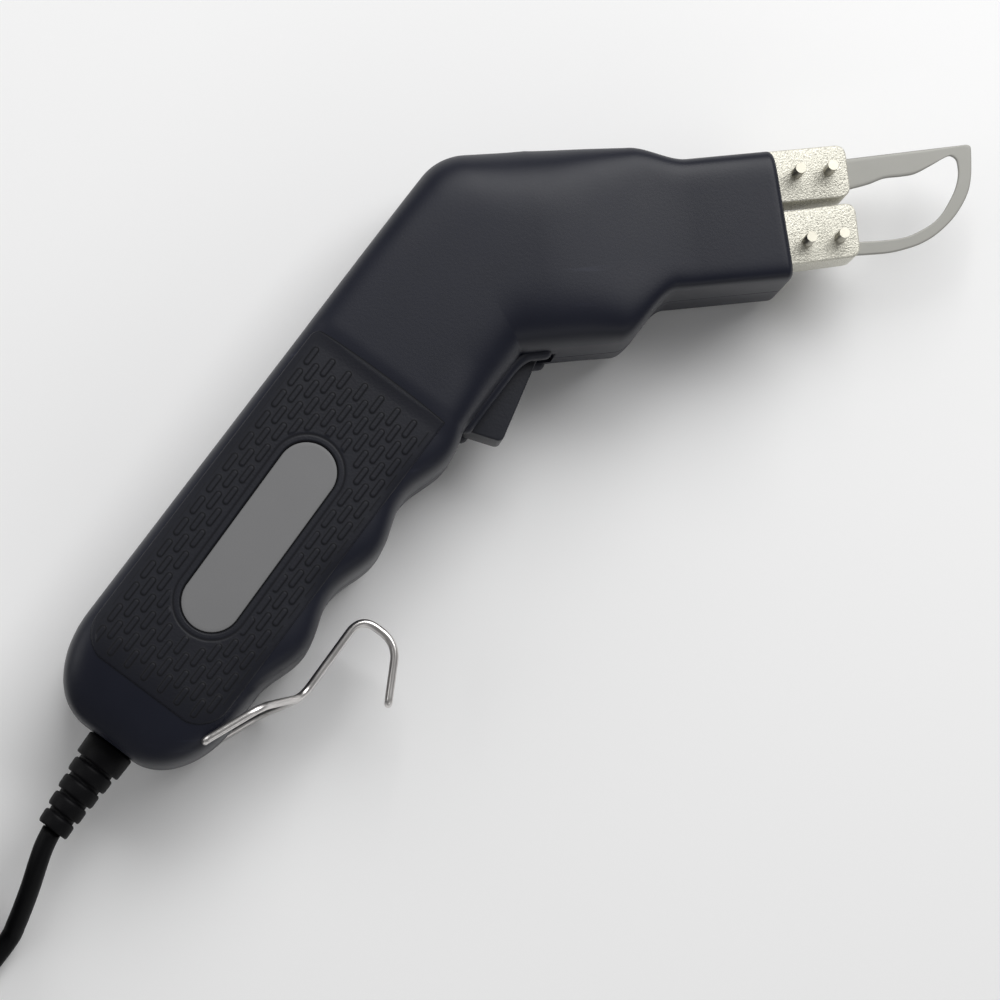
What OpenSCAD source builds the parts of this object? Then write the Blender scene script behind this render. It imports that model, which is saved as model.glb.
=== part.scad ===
// Electric hot knife: bent pistol casing in two halves, transformer in the head, loop blade on two
// electrode blocks, trigger switch, wire stand and mains cord. It lies on its right side.
// Drawing axes: the nose runs along +X from the bend of the casing, Z = 0 is the parting plane.
// Handle axes: s runs from the bend to the tail, n from the handle line to the finger side.

/* [Casing] */
// Angle between the nose line and the handle line, degrees
handle_angle = 47; // [45:0.5:49]
// Bend of the casing to the tail end
handle_len = 163; // [158:1:172]
// Handle line to its back edge
handle_back = 25; // [24:0.1:27]
// Handle line to the middle of the finger waves
handle_under = 24.1; // [23.5:0.1:26]
// Half the height of a finger wave
finger_depth = 1.75; // [0.5:0.05:2]
// Distance between finger swells
finger_pitch = 31.3; // [29:0.1:33]
// Bend to the first finger swell
finger_first = 52; // [50:0.5:54]
// Half thickness over the grip pads and at the head
half_t = 22; // [21.5:0.1:24]
// Half thickness of the bare handle moulding
handle_half_t = 21.3; // [20.8:0.1:21.5]
// Half thickness of the nose
nose_half_t = 19; // [18.5:0.1:20]
// Nose line to the top of the head
head_top = 24.6; // [24:0.1:27]
// Nose line to the underside of the head
head_under = 30; // [29.5:0.1:32]
// Radius of the back corner of the head
head_r = 16; // [12:0.5:18]
// Top of the shoulder where the head meets the neck
shoulder_top = 22; // [21:0.1:23]
// Nose line to the top of the nose
nose_top = 17.3; // [17:0.1:19]
// Nose line to the underside of the nose
nose_under = 18; // [17:0.1:19]
// Bend to the front of the nose
nose_len = 77.7; // [76:0.1:84]
// Wall at the edges of the casing
wall = 2.5; // [2:0.1:3]
// Wall at the flat sides of the casing
side_wall = 3.3; // [3:0.1:3.8]
// Wall at the tail and at the nose front
end_wall = 3.5; // [3:0.1:4]
// Length of the rounded tail
tail_round = 23; // [20:0.5:26]

/* [Grip pads] */
// Thickness of a grip pad
pad_t = 2.2; // [2:0.1:2.4]
// Bend to the seam at the back edge of the pad
pad_start = 46.7; // [46:0.1:50]
// How far the seam slants towards the bend at the finger side
pad_slant = 0.3; // [0:0.1:4]
// Tail end of the casing to the tail end of the pad
pad_tail = 16; // [14:0.5:18]
// Handle line to the pad edge at the back
pad_back = 20.6; // [20:0.1:21]
// Handle line to the pad edge at the finger side
pad_front = 19.2; // [18.5:0.1:19.5]
// Corner radius at the tail end of the pad
pad_r = 9; // [7:0.5:10]
// Length of the bare plate
plate_len = 56.7; // [50:0.1:60]
// Width of the bare plate
plate_w = 15.6; // [13:0.1:17]
// Thickness of the bare plate
plate_t = 1.5; // [1:0.1:1.7]
// Handle line to the middle of the plate towards the back
plate_back = 1.2; // [0:0.1:2]
// Slant of the plate against the handle line, degrees
plate_tilt = 1; // [0:0.5:3]

/* [Trigger and switch] */
// Bend to the trigger pin along the nose line
trigger_x = 9; // [8.5:0.1:9.5]
// Trigger pin above the underside of the head
trigger_up = 4.5; // [4.3:0.1:4.8]
// Width of the trigger
trigger_w = 12.8; // [11:0.1:13.5]
// Diameter of the trigger pin
trigger_pin_d = 3; // [2.5:0.1:3.2]
// Trigger pin to the toe of the trigger along the handle
trigger_reach = 26.8; // [25:0.1:28]
// How far the toe stands out past the pin
trigger_out = 9.7; // [8:0.1:11]
// Thickness of the trigger at its toe
trigger_toe = 10.1; // [9:0.1:10.5]
// Trigger travel, degrees
trigger_travel = 10; // [8:0.5:10]
// Toe of the trigger to the switch plunger along the handle
press_back = 7.3; // [7:0.1:7.6]
// Diameter of the switch plunger
plunger_d = 4; // [3:0.1:4.4]
// How far the plunger stands out of the switch
plunger_out = 4.5; // [4.3:0.1:5]
// Length of the switch
switch_len = 28; // [26:0.5:30]
// Depth of the switch
switch_h = 16; // [15:0.5:17]
// Width of the switch
switch_w = 14; // [12:0.5:15]

/* [Transformer] */
// Bend to the back face of the core
core_x = 1; // [0:0.1:2]
// Nose line to the middle of the core
core_y = 1; // [0.5:0.1:1.5]
// Thickness of the lamination stack
core_stack = 28; // [26:0.5:29]
// Height of a lamination
core_h = 34; // [33:0.5:35]
// Width of a lamination across the tool
core_w = 28; // [27:0.5:29]
// Width of an outer leg, half the middle leg
core_leg = 5.5; // [5.3:0.1:5.7]
// Wall of the bobbin
bobbin_t = 0.8; // [0.6:0.1:1]
// Depth of the primary winding
primary_t = 2.4; // [2:0.1:2.6]
// Thickness of the secondary strap
strap_t = 1.6; // [1.2:0.1:1.8]
// Width of the secondary strap
strap_w = 11; // [9:0.5:12]

/* [Electrodes and blade] */
// Length of an electrode block in front of the nose
block_len = 20.6; // [19.5:0.1:22]
// Height of an electrode block
block_h = 14.2; // [13:0.1:14.4]
// Thickness of an electrode block
block_t = 12.5; // [11.5:0.1:13]
// Distance between the middles of the two blocks
block_pitch = 16.5; // [16.2:0.1:17.5]
// Nose line to the middle of the pair of blocks
block_y = 3.35; // [3:0.05:4]
// Corner radius of the blocks
block_r = 2.6; // [1:0.1:3.5]
// Height of the tang that goes into the nose
tang_h = 4.4; // [4:0.1:4.8]
// Length of the tang inside the nose
tang_len = 18; // [16:0.5:20]
// Thickness of the blade
blade_t = 1; // [0.6:0.1:1.2]
// Block to the tip of the blade
blade_len = 35.4; // [30:0.1:60]
// Height of the blade loop
blade_h = 27.4; // [26.5:0.1:28]
// Width of a blade leg inside its block
leg_w = 8.4; // [7:0.1:9]
// Thread diameter of the blade screws
blade_screw_d = 3; // [2.5:0.1:3.2]
// Distance between the two screws of a block
blade_screw_pitch = 8.7; // [8:0.1:9.5]
// How far the screw ends stand out
blade_screw_out = 7; // [3:0.1:9]
// Thickness of the insulator in the nose
insulator_t = 8; // [6:0.5:8.5]

/* [Wire stand] */
// Diameter of the stand wire
stand_d = 2.1; // [1.8:0.1:2.2]
// Tail end of the casing to the pivot of the stand
stand_tail = 14.5; // [14:0.1:16]
// Handle line to the pivot of the stand
stand_n = 19; // [18.5:0.1:19.2]
// Pivot to the far bend of the hook along the handle
stand_reach = 51; // [48:0.5:54]
// Pivot to the free end of the hook away from the handle
stand_drop = 30.6; // [29:0.1:33]
// Gap between the two wires of the hook
stand_space = 0.3; // [0.2:0.1:2]

/* [Fasteners] */
// Thread diameter of the case screws
case_screw_d = 2.9; // [2.5:0.1:3]
// Head diameter of the case screws
case_head_d = 5.6; // [5:0.1:5.8]
// Diameter of a case screw boss
boss_d = 7; // [6.4:0.1:7.4]

/* [Cord] */
// Diameter of the mains cord
cord_d = 5.2; // [5:0.1:5.4]
// Diameter of the strain relief at its collar
relief_d = 13.2; // [12.5:0.1:14]
// Diameter of the strain relief at its free end
relief_tip_d = 9; // [8.6:0.1:10.5]
// Length of the strain relief outside the casing
relief_len = 26.2; // [24:0.1:28]
// Ribs on the strain relief
relief_ribs = 4; // [3:1:6]
// Diameter of a wire lead
lead_d = 2; // [1.6:0.1:2.2]
// Turns in the stored coil
coil_turns = 8.4; // [6.4:1:9.4]
// Width of the plug
plug_w = 25; // [24:0.5:28]
// Thickness of the plug
plug_t = 14; // [13:0.5:16]
// Length of the plug body
plug_len = 34; // [32:0.5:38]
// Diameter of a plug pin
plug_pin_d = 4; // [3.8:0.1:4.2]
// Length of a plug pin
plug_pin_len = 19; // [17:0.5:20]
// Distance between the plug pins
plug_pin_pitch = 18.6; // [16:0.1:19]

/* [Hidden] */
$fn = 48;

overrun = 1;
fit_gap = 0.05;
seat_gap = 0.15;
run_gap = 0.3;

// Shape of the casing sections: exponents of the rounded sections at the top and the bottom edge
handle_power = 7;
head_top_power = 3.6;
head_under_power = 6;
nose_top_power = 6;
nose_under_power = 8;
ring_steps = 16;
tail_steps = 8;
wave_steps = 12;
fan_steps = 12;
neck_steps = 15;
tail_back_cut = 15.5;
tail_under_cut = 16;
tail_side_cut = 11;
nose_chamfer = 0.8;
fan_s = 24;
fan_x = 12;
shoulder_x = 38;
neck_under_x = 31;
neck_end_x = 54;
neck_under_end_x = 47.5;
flush_len = 4;
waves_share = 2.5;
inner_steps = 4;

// Pad and plate places along the handle
pad_end = handle_len - pad_tail;
plate_share = 0.52;
plate_s = mix(pad_start, pad_end, plate_share);

function mix(a, b, t) = a + (b - a) * t;
function clip(t) = min(max(t, 0), 1);
function ease(t) = let (c = clip(t)) c * c * (3 - 2 * c);
function unit(v) = v / norm(v);
function at_handle(s, n) = [
    n * sin(handle_angle) - s * cos(handle_angle),
    -s * sin(handle_angle) - n * cos(handle_angle)];
function handle_s(p) = -p.x * cos(handle_angle) - p.y * sin(handle_angle);
function handle_n(p) = p.x * sin(handle_angle) - p.y * cos(handle_angle);

// Outline of the casing: depth 0 is its outside, depth 1 the inner face of its wall
function tail_end(depth) = handle_len - end_wall * depth;
function edge(depth) = wall * depth;
function tail_fall(s, depth) =
    let (t = clip((s - tail_end(depth) + tail_round) / tail_round)) 1 - sqrt(1 - t * t);
function finger(s) =
    let (phase = clip((s - finger_first + finger_pitch / 4) / (finger_pitch * (waves_share + 1 / 4))))
    finger_depth * sin(360 * phase * (waves_share + 1 / 4));
function back_n(s, depth) = edge(depth) - handle_back + tail_back_cut * tail_fall(s, depth);
function under_n(s, depth) =
    handle_under - edge(depth) + (depth > 0 ? -finger_depth : finger(s))
    - tail_under_cut * tail_fall(s, depth);
function handle_side(s) = mix(half_t, handle_half_t, ease((s - pad_start + flush_len) / (2 * flush_len)));
function head_top_y(x) = head_top
    - (head_top - shoulder_top) * clip((x - fan_x) / (shoulder_x - fan_x))
    - (shoulder_top - nose_top) * ease((x - shoulder_x) / (neck_end_x - shoulder_x));
function head_under_y(x) =
    mix(-head_under, -nose_under, ease((x - neck_under_x) / (neck_under_end_x - neck_under_x)));

// A station is [edge at the back or top, edge at the finger side, half thickness, two exponents]
function handle_station(s, depth) = [
    at_handle(s, back_n(s, depth)), at_handle(s, under_n(s, depth)),
    handle_side(s) - side_wall * depth - tail_side_cut * tail_fall(s, depth),
    handle_power, handle_power];

function head_station(x, depth) =
    let (t = ease((x - fan_x) / (neck_end_x - fan_x))) [
    [x, head_top_y(x) - edge(depth)], [x, head_under_y(x) + edge(depth)],
    mix(half_t, nose_half_t, t) - side_wall * depth,
    mix(head_top_power, nose_top_power, t), mix(head_under_power, nose_under_power, t)];

// Back edge from the handle round the corner of the head, by distance d from the first fan station
function fan_back(share, depth) = let (
    r = head_r - edge(depth),
    cy = head_top - edge(depth) - r,
    cx = (cy * cos(handle_angle) - handle_back + edge(depth) + r) / sin(handle_angle),
    straight = fan_s - handle_s([cx, cy]),
    arc = r * handle_angle * PI / 180,
    d = share * (straight + arc + fan_x - cx),
    turn = 90 + handle_angle - (d - straight) / r * 180 / PI)
    d < straight ? at_handle(fan_s - d, edge(depth) - handle_back)
    : d < straight + arc ? [cx + r * cos(turn), cy + r * sin(turn)]
    : [cx + d - straight - arc, cy + r];

// Finger edge from the handle round the inner corner to the underside of the head
function corner_x(depth) =
    (under_n(fan_s, depth) - (head_under - edge(depth)) * cos(handle_angle)) / sin(handle_angle);
function fan_under(share, depth) = let (
    corner = [corner_x(depth), edge(depth) - head_under],
    run = fan_s - handle_s(corner),
    d = share * (run + fan_x - corner.x))
    d < run ? at_handle(fan_s - d, under_n(fan_s, depth)) : [corner.x + d - run, corner.y];

function fan_station(share, depth) = let (t = ease(share)) [
    fan_back(share, depth), fan_under(share, depth), half_t - side_wall * depth,
    mix(handle_power, head_top_power, t), mix(handle_power, head_under_power, t)];

function nose_stations(depth) = depth > 0 ? [head_station(nose_len - end_wall * depth, depth)] : [
    head_station(nose_len - nose_chamfer, 0),
    let (q = head_station(nose_len, 0), c = [0, nose_chamfer])
        [q[0] - c, q[1] + c, q[2] - nose_chamfer, q[3], q[4]]];

function stations(depth) = let (
    round_from = tail_end(depth) - tail_round,
    wave_n = depth > 0 ? inner_steps : round((round_from - fan_s) / finger_pitch * wave_steps)) concat(
    [for (k = [0:tail_steps - 1])
        handle_station(round_from + tail_round * cos(90 * k / tail_steps), depth)],
    [for (k = [0:wave_n - 1]) handle_station(mix(round_from, fan_s, k / wave_n), depth)],
    [for (k = [0:fan_steps - 1]) fan_station(k / fan_steps, depth)],
    [for (k = [0:neck_steps]) head_station(mix(fan_x, neck_end_x, k / neck_steps), depth)],
    nose_stations(depth));

outline = [for (q = stations(0)) each [q[0], q[1]]];

// Drawing to the part's own frame: middle of the box on the floor
blade_tip_x = nose_len + block_len + blade_len;
x_low = min([for (p = outline) p.x]);
y_low = min([for (p = outline) p.y]);
origin = [(x_low + blade_tip_x) / 2, (y_low + head_top) / 2, -half_t];

// Half of the casing as rings of points joined by triangles, from z = -base upwards
function ring(q, base) = let (mid = (q[0] + q[1]) / 2, half = (q[0] - q[1]) / 2) concat(
    base > 0 ? [[q[0].x, q[0].y, -base]] : [],
    [for (k = [0:ring_steps]) let (
        c = cos(180 * k / ring_steps),
        power = 2 / (c >= 0 ? q[3] : q[4]),
        u = sign(c) * pow(abs(c), power),
        v = pow(abs(sin(180 * k / ring_steps)), power))
        [mid.x + half.x * u, mid.y + half.y * u, q[2] * v]],
    base > 0 ? [[q[1].x, q[1].y, -base]] : []);

function skin_faces(rings, sides) = concat(
    [for (k = [1:sides - 2]) [0, k, k + 1]],
    [for (i = [0:rings - 2]) for (k = [0:sides - 1]) let (
        a = i * sides + k, b = i * sides + (k + 1) % sides)
        each [[a, b + sides, b], [a, a + sides, b + sides]]],
    [for (k = [1:sides - 2]) let (z = (rings - 1) * sides) [z, z + k + 1, z + k]]);

module loft(depth) {
    q = stations(depth);
    rings = [for (p = q) ring(p, depth > 0 ? overrun : 0)];
    polyhedron([for (r = rings) each r], skin_faces(len(rings), len(rings[0])));
}

// A round tube swept along a list of points
function tube_dirs(p) = [for (i = [0:len(p) - 1]) unit(p[min(i + 1, len(p) - 1)] - p[max(i - 1, 0)])];
steep_share = 0.9;
function tube_start(d) = unit(cross(d, abs(d.z) < steep_share ? [0, 0, 1] : [1, 0, 0]));
function tube_sides(d) = [for (i = 0, n = tube_start(d[0]); i < len(d);
    i = i + 1, n = i < len(d) ? unit(n - (n * d[i]) * d[i]) : n) n];
function tube_points(p, r, sides) = let (d = tube_dirs(p), n = tube_sides(d))
    [for (i = [0:len(p) - 1]) for (k = [0:sides - 1])
        p[i] + r * (cos(360 * k / sides) * n[i] + sin(360 * k / sides) * cross(d[i], n[i]))];

module tube(p, d, sides) {
    polyhedron(tube_points(p, d / 2, sides), skin_faces(len(p), sides));
}

// A path with its corners rounded: each corner becomes a short curve of its own reach
reach_share = 0.45;
function rounded(p, reaches, steps) = concat([p[0]],
    [for (i = [1:len(p) - 2]) let (
        reach = is_list(reaches) ? reaches[i] : reaches,
        a = p[i] + unit(p[i - 1] - p[i]) * min(reach, norm(p[i - 1] - p[i]) * reach_share),
        b = p[i] + unit(p[i + 1] - p[i]) * min(reach, norm(p[i + 1] - p[i]) * reach_share))
        for (k = [0:steps]) let (t = k / steps)
            (1 - t) * (1 - t) * a + 2 * t * (1 - t) * p[i] + t * t * b],
    [p[len(p) - 1]]);

module in_row() { translate(-origin) children(); }
module on_handle() { rotate([0, 0, 180 + handle_angle]) children(); }
module along_handle() { on_handle() rotate([0, 90, 0]) children(); }
module flipped() { mirror([0, 0, 1]) children(); }

// Trigger and switch places in handle axes
trigger_at = [trigger_x, trigger_up - head_under];
pin_s = handle_s(trigger_at);
pin_n = handle_n(trigger_at);
inner_under = handle_under - finger_depth - wall;
flange_t = 1.2;
flange_side = 2.6;
trigger_boss_d = 8.6;
flange_n = inner_under - run_gap;
presser_d = 3;
presser_w = 8;
trigger_brow = 3.2;
toe_share = 0.94;
plunger_reach = trigger_reach - press_back;
plunger_s = pin_s + plunger_reach;
plunger_tip = flange_n - flange_t - presser_d / 2 - run_gap;
switch_top = plunger_tip - plunger_out;
plunger_back_share = 2 / 7;
switch_s = plunger_s - switch_len * plunger_back_share;
switch_hole_d = 3.2;
switch_holes_shares = [[0.18, 0.75], [0.82, 0.25]];
switch_holes = [for (q = switch_holes_shares)
    [switch_s + q[0] * switch_len, switch_top - q[1] * switch_h]];
plunger_travel = plunger_reach * trigger_travel * PI / 180;
plunger_depth = plunger_travel + 2 * wall;
tab_w = 4.8;
tab_t = 0.8;
tab_len = 7;
tabs_shares = [0.25, 0.75];
tab_s = [for (q = tabs_shares) switch_s + q * switch_len];
trigger_pin_len = 24;
slot_side = 0.5;
slot_end = 1.2;

// Transformer places
core_half_h = core_h / 2;
core_half_w = core_w / 2;
window_half = core_half_w - core_leg;
bobbin_y = core_leg + seat_gap;
primary_y = bobbin_y + bobbin_t;
strap_y = primary_y + primary_t + run_gap + strap_t / 2;
coil_out = seat_gap + bobbin_t + primary_t;
flange_room = 0.2;
strap_back_x = core_x - coil_out - run_gap - strap_t;

// Electrode places
block_ys = [block_y + block_pitch / 2, block_y - block_pitch / 2];
arm_ys = [core_y + strap_y, core_y - strap_y];
tang_x = nose_len - tang_len;
arm_depth = 10;
leg_off = 0.1;
leg_drop = 1.6;
leg_ys = [block_ys[0] - leg_off, block_ys[1] - leg_drop];
leg_root = 2.5;
blade_screw_in = 6.7;
blade_screw_xs = [nose_len + blade_screw_in, nose_len + blade_screw_in + blade_screw_pitch];
blade_head_d = 5.5;
blade_head_h = 2;
cross_w = 0.9;
cross_l = 3;
cross_depth = 1.2;

// Case screws in drawing axes: three at the head and the neck, three in the handle
boss_clear = 1.5;
boss_r = boss_d / 2;
neck_boss_x = 48;
handle_boss_s = switch_s + switch_len + boss_d;
handle_boss_n = -(handle_back - wall - boss_d - run_gap);
mid_boss_in = 6;
mid_boss_s = plate_s + mid_boss_in;
mid_boss_n = inner_under - boss_r - boss_clear;
tail_boss_in = 6;
tail_boss_s = pad_end - tail_boss_in;
tail_boss_n = -13;
case_places = [
    [strap_back_x - boss_r - boss_clear, core_y + core_half_h - boss_r],
    [neck_boss_x, core_y],
    [core_x + core_stack + boss_r + boss_clear, core_y - core_half_h - boss_r],
    at_handle(handle_boss_s, handle_boss_n),
    at_handle(mid_boss_s, mid_boss_n),
    at_handle(tail_boss_s, tail_boss_n)];
case_head_z = 12;
case_head_h = 2.2;
case_pilot = 10;
case_head_gap = 0.3;

// Cord clamp and strain relief places along the handle
clamp_back = 33;
clamp_s = handle_len - clamp_back;
clamp_len = 8;
clamp_w = 22;
clamp_t = 5;
clamp_screw_n = 8;
clamp_screw_d = 2.9;
clamp_screw_len = 9;
clamp_boss_d = 6.6;
clamp_head_h = 2;
cradle_w = 8;
relief_neck_d = 12;
relief_flange_d = 17;
relief_flange_t = 2.5;
relief_gap = 0.2;
relief_set = 1.3;
relief_seat = handle_len - end_wall - relief_set;
collar_share = 0.237;
groove_share = 0.27;
groove_depth = 1.1;
relief_end = handle_len + run_gap + relief_len;
cord_inner_s = clamp_s - clamp_len;

// Stand: half of its path in handle axes, as shares of its reach and drop, pivot first, tip last
stand_z = half_t - stand_d / 2 - run_gap;
stand_s = handle_len - stand_tail;
stand_gap = stand_d + stand_space;
stand_play = 0.2;
stand_hole_d = stand_d + stand_play;
stand_pin_z = 12.5;
stand_boss_d = 11.6;
stand_dimple_d = 10;
stand_dimple_z = stand_z - stand_d;
stand_bend = 4;
stand_elbow = 2.2;
stand_groove_w = stand_d + 2 * run_gap;
stand_knee_shares = [-0.304, 0.209];
stand_lay = atan2(stand_knee_shares[1] * stand_drop, stand_knee_shares[0] * stand_reach);
stand_cross_shares = [-0.482, 0.418];
stand_hook_shares = [[-1.0, 0.405], [-0.985, 0.76]];
stand_tip_shares = [-0.735, 1];
function stand_at(q, z) = [stand_s + q[0] * stand_reach, stand_n + q[1] * stand_drop, z];
stand_half = concat(
    [stand_at([0, 0], stand_pin_z), stand_at([0, 0], stand_z), stand_at(stand_knee_shares, stand_z),
    stand_at(stand_cross_shares, stand_gap / 2)],
    [for (q = stand_hook_shares) stand_at(q, stand_gap / 2)],
    [stand_at(stand_tip_shares, stand_gap / 2)]);
stand_steps = 5;
stand_sides = 8;
stand_turn_steps = 6;
stand_reaches = [for (i = [0:len(stand_half) - 1]) i == 1 ? stand_elbow : stand_bend];
stand_line = rounded(stand_half, stand_reaches, stand_steps);
stand_last = len(stand_line) - 1;
stand_tip = stand_line[stand_last];
stand_ahead = unit(stand_tip - stand_line[stand_last - 1]);
stand_turn = [for (k = [1:stand_turn_steps - 1]) let (a = 180 * k / stand_turn_steps)
    [stand_tip.x, stand_tip.y, 0] + stand_gap / 2 * (sin(a) * stand_ahead + cos(a) * [0, 0, 1])];
stand_path = concat(stand_line, stand_turn, [for (i = [stand_last:-1:0])
    [stand_line[i].x, stand_line[i].y, -stand_line[i].z]]);

// Cord route in drawing axes, chosen by hand, from the strain relief to the coil
cord_floor = cord_d / 2 - half_t;
cord_route = [[-131.6, -142.4, -0.8], [-133.3, -147.2, -2.6], [-135.5, -152.4, -6], [-137.9, -157, -10],
    [-140.5, -161.6, -14], [-143.9, -166.6, -17.5]];
plug_route = [[-228.5, -152, -3], [-229, -141, -7], [-229, -130, -11]];
coil_at = [-191, -165];
coil_r = 30.5;
coil_step_gap = 0.6;
coil_lift = 1;
coil_enter = -35;
coil_layers = 4;
loop_rings = 24;
cord_sides = 10;
coil_sides = 6;
coil_step = cord_d + coil_step_gap;
layer_turns = coil_turns / coil_layers;
coil_z0 = cord_floor + coil_lift;

// Coil: the radius runs in and out at a steady rate, each layer climbs in the half turn of its reversal
function coil_radius(u) = let (
    k = floor(u / layer_turns), f = u / layer_turns - k, side = k % 2 == 0 ? 1 : -1)
    coil_r + side * coil_step * layer_turns * (1 / 2 - f);
function coil_height(u) = coil_z0 + coil_step * (ease(2 * (u - layer_turns) + 1 / 2)
    + ease(2 * (u - 2 * layer_turns) + 1 / 2) + ease(2 * (u - 3 * layer_turns) + 1 / 2));
function coil_point(u) = let (a = coil_enter - 360 * u)
    [coil_at.x + coil_radius(u) * cos(a), coil_at.y + coil_radius(u) * sin(a), coil_height(u)];
function coil_tangent(u) = let (a = coil_enter - 360 * u) [sin(a), -cos(a), 0];
coil_last = coil_turns - 1 / 1000;
coil_rings = round(coil_turns * loop_rings);
coil_body = [for (i = [0:coil_rings]) coil_point(coil_last * i / coil_rings)];
coil_path = concat([coil_body[0] - cord_d * coil_tangent(0)], coil_body,
    [coil_body[coil_rings] + cord_d * coil_tangent(coil_last)]);
coil_gap = min([for (i = [0:coil_rings - loop_rings]) for (j = [i + loop_rings / 2:coil_rings])
    norm(coil_body[i] - coil_body[j])]) - cord_d;
echo(least_gap_between_coil_turns = coil_gap);

tie_t = 0.7;
tie_w = 8;
tie_angle = 60;
tie_room = 0.3;
tie_span = coil_step * (layer_turns - 3 / 4) + cord_d + 5 * tie_room;
tie_high = coil_step * (coil_layers - 1) + cord_d + tie_room;

plug_at = [-229, -118];
plug_z = plug_t / 2 - half_t;
plug_spigot_d = 3;
plug_spigot_len = 6;
plug_neck_d = 9;
plug_neck_len = 12;
plug_back_share = 0.55;
plug_neck_share = 0.8;
plug_face_share = 0.62;
plug_r = 3;
pad_steps = 8;

// Leads inside the casing, in handle axes, chosen by hand
lead_run = 10;
switch_end = switch_s + switch_len;
live_route = [[cord_inner_s - lead_run, 3, 0], [switch_end + 28, -3, 0], [switch_end + 10, -7, 0],
    [switch_end + 1.5, -11.5, 0], [switch_end - 0.5, -17, 0]];
neutral_route = [[cord_inner_s - lead_run, -3, 3], [80, -8, 8], [40, -8, 9], [16, -12, 9]];
switched_route = [[switch_s - 1, -16, -3], [14, -13, -6]];
lead_off = 1.3;
lead_sides = 8;
lead_steps = 3;
winding_lead_ys = [core_y + core_leg, core_y - core_leg];
flange_z = window_half - flange_room - bobbin_t / 2;

echo(origin = origin, trigger_at = trigger_at, stand_at = at_handle(stand_s, stand_n),
    plunger_at = at_handle(plunger_s, plunger_tip), relief_end = at_handle(relief_end, 0));

// Flat outlines in handle axes
module stadium(length, width) {
    square([length - width, width], center = true);
    for (side = [-1, 1]) translate([side * (length - width) / 2, 0]) circle(d = width);
}

function pad_corner(s, n, from, r) =
    [for (k = [0:pad_steps]) let (a = from + 90 * k / pad_steps) [s + r * cos(a), n + r * sin(a)]];

module pad_outline(grow) {
    polygon(concat(
        [[pad_start - pad_slant - grow, pad_front + grow], [pad_start - grow, -pad_back - grow]],
        pad_corner(pad_end - pad_r, pad_r - pad_back, -90, pad_r + grow),
        pad_corner(pad_end - pad_r, pad_front - pad_r, 0, pad_r + grow)));
}

module plate_place() { translate([plate_s, -plate_back]) rotate(plate_tilt) children(); }

module trigger_outline() {
    polygon([
        [pin_s, pin_n + trigger_brow],
        [pin_s + trigger_reach, pin_n + trigger_out],
        [pin_s + trigger_reach + trigger_toe / 3, pin_n + trigger_out - trigger_toe * toe_share],
        [pin_s + trigger_reach + trigger_toe / 4, flange_n - flange_t],
        [pin_s + trigger_boss_d / 2, flange_n - flange_t]]);
    translate([pin_s, pin_n]) circle(d = trigger_boss_d);
}

module slot_outline() {
    far = pin_s + trigger_reach + trigger_toe / 3 + slot_end;
    front = trigger_at.x + trigger_boss_d / 2 + slot_end;
    high = [front, trigger_at.y + wall];
    low = [front, -head_under - wall];
    polygon([
        [handle_s(high), handle_n(high)], [handle_s(low), handle_n(low)],
        [far, inner_under + trigger_toe], [far, inner_under - overrun],
        [pin_s + trigger_boss_d / 2, inner_under - overrun]]);
}

module insulator_outline(grow) {
    y = [wall - end_wall / 4 - nose_under, nose_top - wall + end_wall / 4];
    size = [y[1] - y[0] + 2 * grow, 2 * (nose_half_t - side_wall + end_wall / 4) + 2 * grow];
    r = side_wall * 2;
    translate([(y[0] + y[1]) / 2, 0]) {
        square([size.x - 2 * r, size.y], center = true);
        square([size.x, size.y - 2 * r], center = true);
        for (u = [-1, 1]) for (v = [-1, 1])
            translate([u * (size.x / 2 - r), v * (size.y / 2 - r)]) circle(r = r);
    }
}

// Posts and ribs inside one half of the casing
module post(place, d, low) {
    translate([place.x, place.y, low]) cylinder(d = d, h = half_t - low, $fn = 24);
}

bead_d = 4;
bead_ahead = 4;
bead_side = 0.5;
bead_sink = 0.4;
bead_r = 4.5;
bead_steps = 4;
bead_sides = 8;
core_post_d = 6;
core_post_in = 4;
function core_face_posts() = [for (x = [core_x + core_post_in, core_x + core_stack - core_post_in])
    for (side = [-1, 1]) [x, core_y + side * (core_half_h - core_post_in)]];
function core_end_posts() = [for (x = [core_x - core_post_d / 2 - seat_gap,
    core_x + core_stack + core_post_d / 2 + seat_gap])
    for (side = [-1, 1]) [x, core_y + side * (core_half_h - core_post_d / 2)]];

module fittings() {
    for (p = case_places) post(p, boss_d, 0);
    for (h = switch_holes) {
        post(at_handle(h[0], h[1]), 2 * switch_hole_d, switch_w / 2 + seat_gap);
        post(at_handle(h[0], h[1]), switch_hole_d - 2 * seat_gap, wall);
    }
    for (p = core_face_posts()) post(p, core_post_d, core_half_w + seat_gap);
    translate([trigger_at.x, trigger_at.y, trigger_w / 2 + slot_side + run_gap])
        cylinder(d = 2 * trigger_pin_d + overrun, h = (trigger_pin_len - trigger_w) / 2 + overrun, $fn = 24);
    post(at_handle(stand_s, stand_n), stand_boss_d, stand_pin_z - overrun);
    rib_s = relief_seat - relief_flange_t - relief_gap - wall;
    on_handle() translate([rib_s, -handle_back, 0]) difference() {
        cube([wall, 2 * handle_back, half_t]);
        translate([-overrun, handle_back, 0]) rotate([0, 90, 0])
            cylinder(d = cord_d + 2 * run_gap, h = 2 * wall);
    }
}

// Cradle and bosses for the cord clamp, in the right half only
module clamp_seat() {
    for (side = [-1, 1]) post(at_handle(clamp_s, side * clamp_screw_n), clamp_boss_d, 0);
    on_handle() translate([clamp_s - clamp_len / 2, -cradle_w / 2, run_gap])
        cube([clamp_len, cradle_w, half_t]);
}

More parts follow.
